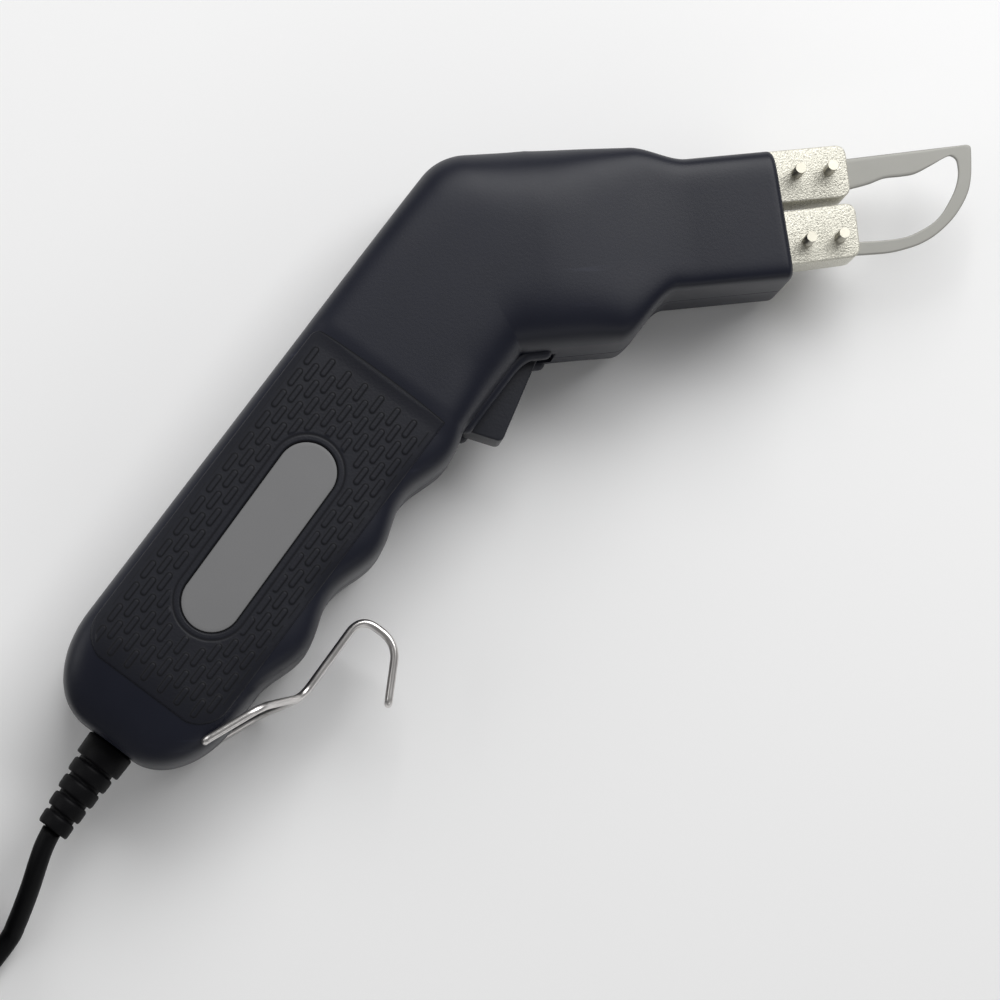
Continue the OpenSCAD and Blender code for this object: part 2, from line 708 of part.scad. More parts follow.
// Raised lip along the trigger's slot, its middle sunk a little into the skin
module bead() {
    z = trigger_w / 2 + slot_side + bead_d / 2 + bead_side;
    low = bead_sink - head_under;
    far = at_handle(pin_s + trigger_reach + trigger_toe / 2, under_n(fan_s, 0) - bead_sink);
    corner = corner_x(0) - bead_sink * tan(handle_angle / 2);
    path = [[trigger_x + bead_ahead, low, z], [corner, low, z], [far.x, far.y, z]];
    tube(rounded(path, bead_r, bead_steps), bead_d, bead_sides);
}

module half_moulding(right) {
    resize([0, 0, 0]) difference() {
        union() {
            difference() {
                loft(0);
                loft(1);
            }
            intersection() {
                loft(1 / 2);
                difference() {
                    union() {
                        fittings();
                        if (right) clamp_seat();
                    }
                    along_handle() translate([0, 0, cord_inner_s])
                        cylinder(d = cord_d + 2 * fit_gap, h = handle_len, $fn = 24);
                }
            }
            bead();
        }
        half_openings();
        if (right) for (p = case_places) translate([p.x, p.y, case_head_z])
            cylinder(d = case_head_d + 2 * case_head_gap, h = half_t, $fn = 24);
    }
}

// Pocket, slots and windows that both halves share
module half_openings() {
    on_handle() translate([0, 0, half_t - pad_t]) linear_extrude(pad_t + overrun) pad_outline(seat_gap);
    on_handle() linear_extrude(trigger_w + 2 * slot_side, center = true) slot_outline();
    on_handle() translate([stand_s, stand_n, stand_dimple_z])
        cylinder(d = stand_dimple_d, h = half_t, $fn = 24);
    on_handle() translate([stand_s, stand_n, stand_z - stand_d / 2 - run_gap]) rotate(stand_lay)
        translate([0, -stand_groove_w / 2, 0]) cube([stand_dimple_d, stand_groove_w, half_t]);
    along_handle() translate([0, 0, handle_len - end_wall - overrun])
        cylinder(d = relief_neck_d + 2 * relief_gap, h = end_wall + 2 * overrun, $fn = 32);
    insulator_place() insulator_outline(seat_gap, $fn = 24);
    for (y = arm_ys) translate([nose_len - 2 * end_wall, y - tang_h / 2 - run_gap, -block_t / 2 - run_gap])
        cube([2 * end_wall + overrun, tang_h + 2 * run_gap, block_t + 2 * run_gap]);
}

// Round bores that both halves share
module half_bores() {
    translate([trigger_at.x, trigger_at.y, 0])
        cylinder(d = trigger_pin_d + fit_gap, h = trigger_pin_len / 2);
    on_handle() translate([stand_s, stand_n, stand_pin_z - run_gap]) cylinder(d = stand_hole_d, h = half_t);
}

insulator_in = 2;
insulator_x = nose_len - end_wall - insulator_t - insulator_in;
module insulator_place() {
    translate([insulator_x, 0, 0]) rotate([90, 0, 90]) linear_extrude(insulator_t) children();
}

module left_shell() color([0.13, 0.13, 0.16]) in_row() difference() {
    half_moulding(false);
    half_bores();
    for (p = case_places) translate([p.x, p.y, -overrun])
        cylinder(d = case_screw_d + 2 * fit_gap, h = case_pilot + overrun);
}

module right_shell() color([0.13, 0.13, 0.16]) in_row() flipped() difference() {
    half_moulding(true);
    half_bores();
    for (p = case_places) translate([p.x, p.y, -overrun])
        cylinder(d = case_screw_d + 2 * fit_gap, h = case_head_z + 2 * overrun);
    for (side = [-1, 1]) on_handle() translate([clamp_s, side * clamp_screw_n, -overrun])
        cylinder(d = clamp_screw_d + 2 * fit_gap, h = clamp_screw_len + 2 * overrun);
}

module grip_pad(holes) {
    on_handle() translate([0, 0, half_t - pad_t]) linear_extrude(pad_t) difference() {
        pad_outline(0);
        plate_place() stadium(plate_len + 2 * seat_gap, plate_w + 2 * seat_gap);
        for (p = holes) translate([handle_s(p), handle_n(p)]) circle(d = case_head_d + 2 * case_head_gap);
    }
}

module left_grip_pad() color([0.1, 0.1, 0.12]) in_row() grip_pad([]);
module right_grip_pad() color([0.1, 0.1, 0.12]) in_row() flipped()
    grip_pad([for (i = [3:5]) case_places[i]]);

module name_plate() {
    on_handle() translate([0, 0, half_t - pad_t]) linear_extrude(plate_t) plate_place()
        stadium(plate_len, plate_w);
}

module left_plate() color([0.46, 0.46, 0.47]) in_row() name_plate();
module right_plate() color([0.46, 0.46, 0.47]) in_row() flipped() name_plate();

module trigger() color([0.1, 0.1, 0.12]) in_row() on_handle() difference() {
    union() {
        linear_extrude(trigger_w, center = true) trigger_outline();
        translate([pin_s + trigger_boss_d, flange_n - flange_t, -trigger_w / 2 - flange_side])
            cube([trigger_reach - trigger_boss_d, flange_t, trigger_w + 2 * flange_side]);
        translate([plunger_s, flange_n - flange_t, 0]) cylinder(d = presser_d, h = presser_w, center = true);
    }
    translate([pin_s, pin_n, 0])
        cylinder(d = trigger_pin_d + 2 * fit_gap, h = trigger_w + overrun, center = true);
}

module trigger_pin() color("silver") in_row() translate([trigger_at.x, trigger_at.y, 0])
    cylinder(d = trigger_pin_d, h = trigger_pin_len - run_gap, center = true);

spring_wire_d = 0.5;
spring_turns = 3.5;
spring_turn_steps = 8;
spring_sides = 6;
spring_d = plunger_d + 3 * spring_wire_d;
spring_len = plunger_out - run_gap - spring_wire_d;

module trigger_spring() color("silver") in_row() on_handle() {
    steps = round(spring_turns * spring_turn_steps);
    tube([for (i = [0:steps]) let (a = 360 * spring_turns * i / steps) [
        plunger_s + spring_d / 2 * cos(a),
        switch_top + run_gap + spring_wire_d / 2 + spring_len * i / steps,
        spring_d / 2 * sin(a)]], spring_wire_d, spring_sides);
}

module switch_body() color([0.2, 0.2, 0.2]) in_row() on_handle() difference() {
    translate([switch_s, switch_top - switch_h, -switch_w / 2]) cube([switch_len, switch_h, switch_w]);
    translate([plunger_s, switch_top + overrun, 0]) rotate([90, 0, 0])
        cylinder(d = plunger_d + 4 * fit_gap, h = plunger_depth + plunger_travel + 2 * overrun);
    for (h = switch_holes) translate([h[0], h[1], 0])
        cylinder(d = switch_hole_d, h = switch_w + overrun, center = true);
}

module switch_plunger() color("firebrick") in_row() on_handle()
    translate([plunger_s, plunger_tip, 0]) rotate([90, 0, 0])
        cylinder(d = plunger_d, h = plunger_out + plunger_depth);

module switch_tabs() color("gold") in_row() on_handle() for (s = tab_s)
    translate([s - tab_w / 2, switch_top - switch_h - tab_len, -tab_t / 2]) cube([tab_w, tab_len, tab_t]);

module core_block(low, high) {
    translate([core_x, core_y - core_half_h, low]) cube([core_stack, core_h, high - low]);
}

module core_e_stack() color([0.35, 0.34, 0.33]) in_row() difference() {
    core_block(-core_half_w, window_half);
    for (low = [core_leg, core_leg - core_half_h]) translate([core_x - overrun, core_y + low, -window_half])
        cube([core_stack + 2 * overrun, core_half_h - 2 * core_leg, core_w]);
}

module core_i_stack() color([0.38, 0.37, 0.36]) in_row() core_block(window_half, core_half_w);

// A rectangular ring round the middle leg: half sizes in X and Y, and heights
module leg_sleeve(inside, outside, low, high) {
    translate([core_x + core_stack / 2, core_y, low]) difference() {
        linear_extrude(high - low)
            square([core_stack + 2 * outside, 2 * (core_leg + outside)], center = true);
        translate([0, 0, -overrun]) linear_extrude(high - low + 2 * overrun)
            square([core_stack + 2 * inside, 2 * (core_leg + inside)], center = true);
    }
}

module bobbin() color([0.85, 0.8, 0.65]) in_row() {
    z = window_half - flange_room;
    leg_sleeve(seat_gap, seat_gap + bobbin_t, -z, z);
    for (low = [-z, z - bobbin_t]) leg_sleeve(seat_gap, coil_out + flange_room, low, low + bobbin_t);
}

module primary_winding() color([0.72, 0.38, 0.2]) in_row() {
    z = window_half - flange_room - bobbin_t;
    leg_sleeve(seat_gap + bobbin_t, coil_out, -z, z);
}

module secondary_strap() color([0.8, 0.45, 0.25]) in_row() translate([0, 0, -strap_w / 2])
    linear_extrude(strap_w) {
        for (y = arm_ys) translate([strap_back_x, y - strap_t / 2])
            square([tang_x + arm_depth - run_gap - strap_back_x, strap_t]);
        translate([strap_back_x, arm_ys[1]]) square([strap_t, arm_ys[0] - arm_ys[1]]);
    }

module round_block(x, y, r) {
    translate([r, 0]) square([x - 2 * r, y]);
    translate([0, r]) square([x, y - 2 * r]);
    for (u = [r, x - r]) for (v = [r, y - r]) translate([u, v]) circle(r = r);
}

module electrode(i) {
    low = block_ys[i] - block_h / 2;
    difference() {
        translate([0, 0, -block_t / 2]) linear_extrude(block_t) {
            translate([nose_len, low]) round_block(block_len, block_h, block_r);
            translate([nose_len, low]) square([block_len / 2, block_h]);
            translate([tang_x, arm_ys[i] - tang_h / 2]) square([tang_len + overrun, tang_h]);
        }
        translate([tang_x - overrun, arm_ys[i] - strap_t / 2 - fit_gap, -block_t])
            cube([arm_depth + overrun, strap_t + 2 * fit_gap, 2 * block_t]);
        translate([nose_len + leg_root, leg_ys[i] - leg_w / 2 - seat_gap, -blade_t / 2 - fit_gap])
            cube([block_len, leg_w + 2 * seat_gap, blade_t + 2 * fit_gap]);
        for (x = blade_screw_xs) translate([x, leg_ys[i], 0])
            cylinder(d = blade_screw_d + 2 * fit_gap, h = block_t + overrun, center = true);
    }
}

module upper_electrode() color([0.78, 0.76, 0.7]) in_row() electrode(0);
module lower_electrode() color([0.78, 0.76, 0.7]) in_row() electrode(1);

module nose_insulator() color([0.55, 0.4, 0.25]) in_row() difference() {
    insulator_place() insulator_outline(0);
    for (y = arm_ys) translate([insulator_x - overrun, y - tang_h / 2 - fit_gap, -block_t / 2 - fit_gap])
        cube([insulator_t + 2 * overrun, tang_h + 2 * fit_gap, block_t + 2 * fit_gap]);
}

// Blade: loop outline as shares of its length and height, outer edge then inner edge
blade_outer_shares = [[0, 0.968], [0.97, 1], [0.992, 0.985], [1, 0.94], [0.972, 0.668], [0.917, 0.482],
    [0.806, 0.296], [0.669, 0.153], [0.542, 0.07], [0.414, 0.026], [0.25, 0], [0, 0.007]];
blade_inner_shares = [[0, 0.142], [0.24, 0.13], [0.4, 0.14], [0.5, 0.175], [0.617, 0.241], [0.7, 0.32],
    [0.756, 0.405], [0.833, 0.555], [0.875, 0.7], [0.878, 0.84], [0.845, 0.895], [0.8, 0.896],
    [0.675, 0.825], [0.547, 0.759], [0.44, 0.745], [0.3, 0.741], [0.175, 0.697], [0, 0.66]];
blade_low = leg_ys[1] - leg_w / 2;
blade_x = nose_len + block_len;
function blade_points(shares) = [for (q = shares) [blade_x + q[0] * blade_len, blade_low + q[1] * blade_h]];

module blade_outline() {
    root = nose_len + leg_root + run_gap;
    half = leg_w / 2;
    polygon(concat(
        [[root, leg_ys[0] + half]], blade_points(blade_outer_shares),
        [[root, leg_ys[1] - half], [root, leg_ys[1] + half], [blade_x - run_gap, leg_ys[1] + half]],
        blade_points(blade_inner_shares), [[root, leg_ys[0] - half]]));
}

module blade() color([0.62, 0.63, 0.64]) in_row() translate([0, 0, -blade_t / 2])
    linear_extrude(blade_t) difference() {
        blade_outline();
        for (x = blade_screw_xs) for (y = leg_ys) translate([x, y]) circle(d = blade_screw_d + 2 * seat_gap);
    }

module cross_recess(top) {
    for (turn = [0, 90]) rotate(turn) translate([-cross_l / 2, -cross_w / 2, top - cross_depth])
        cube([cross_l, cross_w, cross_depth + overrun]);
}

module screw(d, length, head_d, head_h) {
    translate([0, 0, -length]) cylinder(d = d, h = length);
    difference() {
        cylinder(d = head_d, h = head_h);
        cross_recess(head_h);
    }
}

module blade_screws() color([0.75, 0.75, 0.74]) in_row() for (x = blade_screw_xs) for (y = leg_ys)
    translate([x, y, -block_t / 2]) flipped()
        screw(blade_screw_d, block_t + blade_screw_out, blade_head_d, blade_head_h);

module case_screws() color([0.5, 0.5, 0.52]) in_row() for (p = case_places)
    translate([p.x, p.y, -case_head_z]) flipped()
        screw(case_screw_d, case_head_z + case_pilot - overrun, case_head_d, case_head_h);

module wire_stand() color([0.8, 0.8, 0.82]) in_row() on_handle()
    tube(stand_path, stand_d, stand_sides);

// Strain relief: collar, then ribs that taper to the tip
module strain_relief() color([0.07, 0.07, 0.08]) in_row() along_handle() {
    collar = relief_len * collar_share;
    pitch = (relief_len - collar) / relief_ribs;
    root = handle_len + run_gap;
    difference() {
        union() {
            translate([0, 0, relief_seat - relief_flange_t - relief_gap / 2])
                cylinder(d = relief_flange_d, h = relief_flange_t);
            translate([0, 0, relief_seat - relief_gap])
                cylinder(d = relief_neck_d, h = handle_len - relief_seat + run_gap + 2 * relief_gap);
            translate([0, 0, root]) cylinder(d = relief_d, h = collar);
            for (i = [0:relief_ribs - 1]) let (d = mix(relief_d, relief_tip_d, (i + 1) / relief_ribs)) {
                translate([0, 0, root + collar + i * pitch - overrun])
                    cylinder(d = d - 2 * groove_depth, h = pitch * groove_share + 2 * overrun);
                translate([0, 0, root + collar + (i + groove_share) * pitch])
                    cylinder(d = d, h = pitch * (1 - groove_share));
            }
        }
        translate([0, 0, cord_inner_s])
            cylinder(d = cord_d + 2 * fit_gap, h = relief_end - cord_inner_s + overrun);
    }
}

module cord_inner() color([0.06, 0.06, 0.07]) in_row() along_handle()
    translate([0, 0, cord_inner_s]) cylinder(d = cord_d, h = relief_end - cord_inner_s);

module cord_clamp() color([0.8, 0.78, 0.72]) in_row() on_handle() difference() {
    translate([clamp_s - clamp_len / 2, -clamp_w / 2, fit_gap]) cube([clamp_len, clamp_w, clamp_t]);
    translate([clamp_s - clamp_len, 0, 0]) rotate([0, 90, 0])
        cylinder(d = cord_d + 2 * fit_gap, h = 2 * clamp_len);
    for (side = [-1, 1]) translate([clamp_s, side * clamp_screw_n, 0])
        cylinder(d = clamp_screw_d + 2 * fit_gap, h = clamp_t + overrun);
}

module clamp_screws() color("silver") in_row() on_handle() for (side = [-1, 1])
    translate([clamp_s, side * clamp_screw_n, clamp_t + 2 * fit_gap])
        screw(clamp_screw_d, clamp_t + clamp_screw_len, case_head_d, clamp_head_h);

module lead(route) { tube(rounded(route, 3 * lead_d, lead_steps), lead_d, lead_sides); }

function winding_end(i) = let (x = core_x - coil_out - flange_room - run_gap, y = winding_lead_ys[i])
    [handle_s([x, y]), handle_n([x, y]), (i == 0 ? 1 : -1) * flange_z];
function winding_near(i) = let (x = core_x - coil_out - 4 * lead_d, y = winding_lead_ys[i])
    [handle_s([x, y]), handle_n([x, y]), (i == 0 ? 1 : -1) * flange_z];
tab_tip = switch_top - switch_h - tab_len - run_gap;
function tab_meet(i) = [tab_s[i], tab_tip, 0];
function tab_near(i) = [tab_s[i], tab_tip - 3 * lead_d, 0];

module live_lead() color([0.4, 0.22, 0.1]) in_row() on_handle()
    lead(concat([[cord_inner_s - run_gap, lead_off, 0]], live_route, [tab_near(1), tab_meet(1)]));
module neutral_lead() color([0.15, 0.3, 0.6]) in_row() on_handle()
    lead(concat([[cord_inner_s - run_gap, -lead_off, 0]], neutral_route, [winding_near(0), winding_end(0)]));
module switched_lead() color([0.1, 0.1, 0.1]) in_row() on_handle()
    lead(concat([tab_meet(0), tab_near(0)], switched_route, [winding_near(1), winding_end(1)]));

cord_start = let (p = at_handle(relief_end, 0)) [p.x, p.y, 0];
cord_lead_in = let (p = at_handle(relief_end + cord_d / 4, 0)) [p.x, p.y, 0];
coil_end = coil_path[len(coil_path) - 1];

module mains_cord() color([0.05, 0.05, 0.06]) in_row()
    tube(concat([cord_start, cord_lead_in], cord_route,
        [coil_path[0] - cord_d / 2 * coil_tangent(0), coil_path[0]]), cord_d, cord_sides);

module cord_coil() color([0.05, 0.05, 0.06]) in_row() tube(coil_path, cord_d, coil_sides);

module plug_lead() color([0.05, 0.05, 0.06]) in_row()
    tube(concat([coil_end, coil_end + cord_d / 2 * coil_tangent(coil_last)], plug_route,
        [[plug_at.x, plug_at.y - cord_d / 2, plug_z], [plug_at.x, plug_at.y, plug_z]]), cord_d, cord_sides);

module cord_tie() color([0.15, 0.15, 0.16]) in_row()
    translate([coil_at.x, coil_at.y, 0]) rotate(tie_angle) translate([coil_r, 0, -half_t]) difference() {
        translate([-tie_span / 2 - tie_t, -tie_w / 2, 0])
            cube([tie_span + 2 * tie_t, tie_w, tie_high + 2 * tie_t + tie_room]);
        translate([-tie_span / 2, -tie_w, tie_t]) cube([tie_span, 2 * tie_w, tie_high + tie_room]);
    }

module plug_place() { translate([plug_at.x, plug_at.y, plug_z]) rotate([-90, 0, 0]) children(); }

module plug_body() color([0.07, 0.07, 0.08]) in_row() plug_place() difference() {
    union() {
        cylinder(d = plug_neck_d, h = plug_neck_len);
        hull() {
            translate([0, 0, plug_neck_len * plug_neck_share]) linear_extrude(overrun)
                square([plug_w * plug_back_share, plug_t * plug_back_share], center = true);
            translate([0, 0, plug_len * plug_face_share]) linear_extrude(plug_len * (1 - plug_face_share))
                translate([-plug_w / 2, -plug_t / 2]) round_block(plug_w, plug_t, plug_r, $fn = 32);
        }
    }
    for (side = [-1, 1]) translate([side * plug_pin_pitch / 2, 0, plug_len - plug_spigot_len])
        cylinder(d = plug_spigot_d + 2 * fit_gap, h = plug_spigot_len + overrun);
}

module plug_pins() color("silver") in_row() plug_place() for (side = [-1, 1])
    translate([side * plug_pin_pitch / 2, 0, plug_len]) {
        cylinder(d = plug_pin_d, h = plug_pin_len);
        translate([0, 0, run_gap - plug_spigot_len]) cylinder(d = plug_spigot_d, h = plug_spigot_len);
    }

left_shell();
right_shell();
left_grip_pad();
right_grip_pad();
left_plate();
right_plate();
trigger();
trigger_pin();
trigger_spring();
switch_body();
switch_plunger();
switch_tabs();
core_e_stack();
core_i_stack();
bobbin();
primary_winding();
secondary_strap();
upper_electrode();
lower_electrode();
nose_insulator();
blade();
blade_screws();
case_screws();
wire_stand();
strain_relief();
cord_inner();
cord_clamp();
clamp_screws();
live_lead();
switched_lead();
neutral_lead();
mains_cord();
cord_coil();
plug_lead();
cord_tie();
plug_body();
plug_pins();
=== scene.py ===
"""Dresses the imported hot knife: moulded casing, grip pads, castings, blade, wire stand and cord.

Lengths are millimetres in the drawing axes of the part: the nose runs along +X from the bend of the
casing and z = 0 is the parting plane. In handle axes s runs from the bend to the tail and n towards
the finger side. to_part() turns drawing millimetres into metres in the part's own frame.
"""
import math

import bpy
import numpy as np
from mathutils import Matrix, Vector


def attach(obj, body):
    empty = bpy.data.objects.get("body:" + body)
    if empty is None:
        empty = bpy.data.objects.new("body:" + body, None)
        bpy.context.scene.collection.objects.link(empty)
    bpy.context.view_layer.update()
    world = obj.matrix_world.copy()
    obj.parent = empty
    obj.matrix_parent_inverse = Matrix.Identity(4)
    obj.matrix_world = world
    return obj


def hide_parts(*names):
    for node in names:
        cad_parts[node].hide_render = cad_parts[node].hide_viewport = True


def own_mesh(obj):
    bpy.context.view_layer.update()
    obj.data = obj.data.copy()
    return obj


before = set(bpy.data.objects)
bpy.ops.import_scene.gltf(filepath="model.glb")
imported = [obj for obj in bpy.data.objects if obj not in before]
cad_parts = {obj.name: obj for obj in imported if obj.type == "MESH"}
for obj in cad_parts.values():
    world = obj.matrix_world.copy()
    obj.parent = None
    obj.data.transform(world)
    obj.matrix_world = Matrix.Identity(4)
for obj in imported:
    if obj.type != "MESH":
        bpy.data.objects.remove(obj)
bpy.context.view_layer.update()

# Half thickness of the tool
HALF = 22.0
# The drawing point at the origin of the part's frame
ORIGIN = np.array([5.966, -51.0844, -HALF])
BEND = math.radians(47)
ALONG = np.array([-math.cos(BEND), -math.sin(BEND)])
ACROSS = np.array([math.sin(BEND), -math.cos(BEND)])
# Radius left at the middle of a turned end, and the angle from which an edge is crisp
POLE = 0.01
CRISP = math.radians(40)


# Places and curves

def to_part(points):
    """Drawing millimetres to metres in the part's frame."""
    return (np.asarray(points, float) - ORIGIN) * 0.001


def on_handle(s, n):
    """Handle axes to drawing axes: s along the handle, n across it."""
    s, n = np.asarray(s, float), np.asarray(n, float)
    return s[..., None] * ALONG + n[..., None] * ACROSS


def handle_place(points):
    """Points in handle axes (s, n, z) to drawing axes."""
    p = np.asarray(points, float)
    return np.concatenate([on_handle(p[..., 0], p[..., 1]), p[..., 2:3]], -1)


def mix(a, b, t):
    """Straight blend from a to b."""
    return a + (b - a) * t


def ease(t):
    """Smooth step from 0 to 1: 3 t^2 - 2 t^3."""
    t = np.clip(t, 0, 1)
    return t * t * (3 - 2 * t)


def past(distance, span):
    """Smooth step from 0 at the span's start to 1 over its width."""
    start, width = span
    return ease((distance - start) / width)


def line_at(distance, middle, width):
    """Soft line: exp(-((distance - middle) / width)^2)."""
    return np.exp(-((distance - middle) / width) ** 2)


def unit(v):
    """Vectors divided by their length."""
    return v / np.maximum(np.linalg.norm(v, axis=-1, keepdims=True), 1e-12)


def quarter(radius, distance):
    """Drop of a quarter round at a distance from its edge."""
    inner = np.clip(radius - distance, 0, radius)
    return radius - np.sqrt(np.clip(radius ** 2 - inner ** 2, 0, None))


def filleted(points, reach, steps=8, closed=True):
    """Corners rounded by quadratic curves: each corner P becomes (1-t)^2 A + 2t(1-t) P + t^2 B, where A and B
    lie on its two sides at the given reach, or just short of the middle of a short side."""
    p = np.asarray(points, float)
    reach = np.broadcast_to(np.asarray(reach, float), len(p))[:, None]

    def side_point(away):
        """The point on a side at the reach from its corner."""
        return p + unit(away) * np.minimum(reach, 0.48 * np.linalg.norm(away, axis=1, keepdims=True))

    a, b = side_point(np.roll(p, 1, 0) - p), side_point(np.roll(p, -1, 0) - p)
    t = np.linspace(0, 1, steps + 1)[None, :, None]
    curve = (1 - t) ** 2 * a[:, None] + 2 * t * (1 - t) * p[:, None] + t ** 2 * b[:, None]
    if closed:
        return curve.reshape(-1, p.shape[1])
    return np.concatenate([p[:1], curve[1:-1].reshape(-1, p.shape[1]), p[-1:]])


def smooth_line(points, step, skip=0):
    """Catmull-Rom curve through the points, sampled at about the given step, without its first spans."""
    p = np.asarray(points, float)
    p = np.concatenate([2 * p[:1] - p[1:2], p, 2 * p[-1:] - p[-2:-1]])
    spans = len(p) - 3
    count = max(2, int(np.linalg.norm(np.diff(p[1:-1], axis=0), axis=1).sum() / step))
    u = np.linspace(skip, spans - 1e-9, count)
    i = u.astype(int)
    t = (u - i)[:, None]
    a, b, c, d = p[i], p[i + 1], p[i + 2], p[i + 3]
    square, cube = 2 * a - 5 * b + 4 * c - d, 3 * b - a - 3 * c + d
    return 0.5 * (2 * b + (c - a) * t + square * t ** 2 + cube * t ** 3)


def even_line(points, step):
    """The same line with points at equal distances along it."""
    p = np.asarray(points, float)
    d = np.concatenate([[0], np.cumsum(np.linalg.norm(np.diff(p, axis=0), axis=1))])
    at = np.linspace(0, d[-1], max(2, int(d[-1] / step) + 1))
    return np.stack([np.interp(at, d, p[:, k]) for k in range(p.shape[1])], 1)


# Meshes

def grid_faces(rows, cols, wrap=False):
    """Quads between neighbouring rows and columns of a grid of points."""
    i, k = np.meshgrid(np.arange(rows - 1), np.arange(cols if wrap else cols - 1), indexing="ij")
    k2 = (k + 1) % cols
    quads = np.stack([i * cols + k, (i + 1) * cols + k, (i + 1) * cols + k2, i * cols + k2], -1)
    return quads.reshape(-1, 4)


def ring_faces(grid):
    """Quads of a grid whose columns close into rings, turned outwards."""
    return grid_faces(*grid.shape[:2], wrap=True)[:, ::-1]


def end_caps(grid, start=0):
    """The first and the last ring of such a grid as faces that close its ends."""
    rows, cols = grid.shape[:2]
    last = start + (rows - 1) * cols
    return [list(range(start, start + cols))[::-1], list(range(last, last + cols))]


def joined(grids):
    """Points, faces and end caps of several ring grids as one mesh."""
    points, faces, caps, start = [], [], [], 0
    for grid in grids:
        points.append(grid.reshape(-1, 3))
        faces.append(ring_faces(grid) + start)
        caps += end_caps(grid, start)
        start += grid.shape[0] * grid.shape[1]
    return np.concatenate(points), np.concatenate(faces), caps


def add_piece(name, points, faces, material, slot, body="casing", replaces=(), caps=(), smooth=True,
              shade_marks=None):
    """A mesh object at the origin from drawing millimetres, riding on a body."""
    mesh = bpy.data.meshes.new(name)
    mesh.from_pydata(to_part(np.reshape(points, (-1, 3))).tolist(), [], faces.tolist() + list(caps))
    mesh.update()
    mesh.polygons.foreach_set("use_smooth", np.full(len(mesh.polygons), smooth))
    # Painted shade of gaps, grooves and outlines, kept as a point attribute for the material
    if shade_marks is not None:
        layer = mesh.attributes.new("painted_shade", "FLOAT", "POINT")
        layer.data.foreach_set("value", np.asarray(shade_marks, np.float32).ravel())
    mesh.materials.append(material)
    piece = bpy.data.objects.new(name, mesh)
    bpy.context.collection.objects.link(piece)
    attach(piece, body)
    if replaces:
        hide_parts(*replaces)
    return piece


def add_rings(name, grid, material, slot, **options):
    """A piece from one ring grid with both ends closed."""
    return add_piece(name, grid, ring_faces(grid), material, slot, caps=end_caps(grid), **options)


def swept(path, radius, sides):
    """Rings of a round tube: a circle of the given radius (one value, or one a point) carried along the path,
    its start direction turned with the path without twist."""
    p = np.asarray(path, float)
    d = unit(np.gradient(p, axis=0))
    n = np.empty_like(d)
    side = np.array([0.0, 0, 1]) if abs(d[0, 2]) < 0.9 else np.array([1.0, 0, 0])
    n[0] = unit(np.cross(d[0], side))
    for i in range(1, len(p)):
        n[i] = unit(n[i - 1] - (n[i - 1] @ d[i]) * d[i])
    a = np.linspace(0, 2 * np.pi, sides, endpoint=False)
    r = np.broadcast_to(np.asarray(radius, float), len(p))[:, None, None]
    ring = np.cos(a)[None, :, None] * n[:, None] + np.sin(a)[None, :, None] * np.cross(d, n)[:, None]
    return p[:, None] + r * ring


def round_ends(path, radius, steps=5):
    """Path and radii with a half ball at each end: r sin(a) at distance r cos(a) from the end."""
    p = np.asarray(path, float)
    a = np.linspace(0.02, np.pi / 2, steps)
    first, last = unit(p[0] - p[1]), unit(p[-1] - p[-2])
    head = p[0] + first * (radius * np.cos(a))[:, None]
    tail = p[-1] + last * (radius * np.cos(a[::-1]))[:, None]
    r = np.concatenate([radius * np.sin(a), np.full(len(p) - 2, radius), radius * np.sin(a[::-1])])
    return np.concatenate([head, p[1:-1], tail]), r


def add_wire(name, path, radius, sides, material, slot, **options):
    """A round rod along a path, with ball ends."""
    path, radii = round_ends(path, radius)
    return add_rings(name, swept(path, radii, sides), material, slot, **options)


def turned(profile, sides):
    """Surface of revolution about the third axis: (r cos a, r sin a, h) for each (r, h) of the profile."""
    q = np.asarray(profile, float)
    a = np.linspace(0, 2 * np.pi, sides, endpoint=False)
    height = np.broadcast_to(q[:, 1:], (len(q), sides))
    return np.stack([q[:, :1] * np.cos(a), q[:, :1] * np.sin(a), height], -1)


def inset(outline, amount):
    """Closed outline moved inwards along the average of its two edge normals."""
    p = np.asarray(outline, float)
    e = unit(np.roll(p, -1, 0) - p)
    normal = np.stack([-e[:, 1], e[:, 0]], 1)
    mean = unit(normal + np.roll(normal, 1, 0))
    scale = np.maximum(np.sum(mean * normal, 1, keepdims=True), 0.5)
    return p + mean * amount / scale


def prism(outline, half, bevel, steps=4):
    """Rings of a plate between -half and half with rounded edges: the outline, turning inwards by
    bevel (1 - sin a) as z goes bevel cos a past each edge. The outline runs anticlockwise."""
    a = np.linspace(0, np.pi / 2, steps + 1)
    grow = bevel * (1 - np.sin(a))
    z = half - bevel * (1 - np.cos(a))
    levels = [*zip(grow, -z), *zip(grow[::-1], z[::-1])]
    return np.stack([np.column_stack([inset(outline, g), np.full(len(outline), h)]) for g, h in levels])


# Camera, at the photograph's place

PHOTO_RIGHT, PHOTO_UP = np.array([0.9936, -0.113, 0]), np.array([0.113, 0.9936, 0])
EYE_LEFT, EYE_BELOW, EYE_HIGH = 78.9, 105.3, 900

camera = bpy.data.objects.new("camera", bpy.data.cameras.new("camera"))
bpy.context.collection.objects.link(camera)
bpy.context.scene.camera = camera
aim = np.array([-3.8, -66.14, 0])
eye = aim - EYE_LEFT * PHOTO_RIGHT - EYE_BELOW * PHOTO_UP + np.array([0, 0, EYE_HIGH])
forward = unit(aim - eye)
right = unit(np.cross(forward, PHOTO_UP))
turn = Matrix(np.stack([right, np.cross(right, forward), -forward], 1).tolist()).to_4x4()
camera.matrix_world = Matrix.Translation(Vector(to_part(eye).tolist())) @ turn
camera.data.lens = 124.4
camera.data.sensor_width = 36
camera.data.clip_start, camera.data.clip_end = 0.01, 20


# Materials

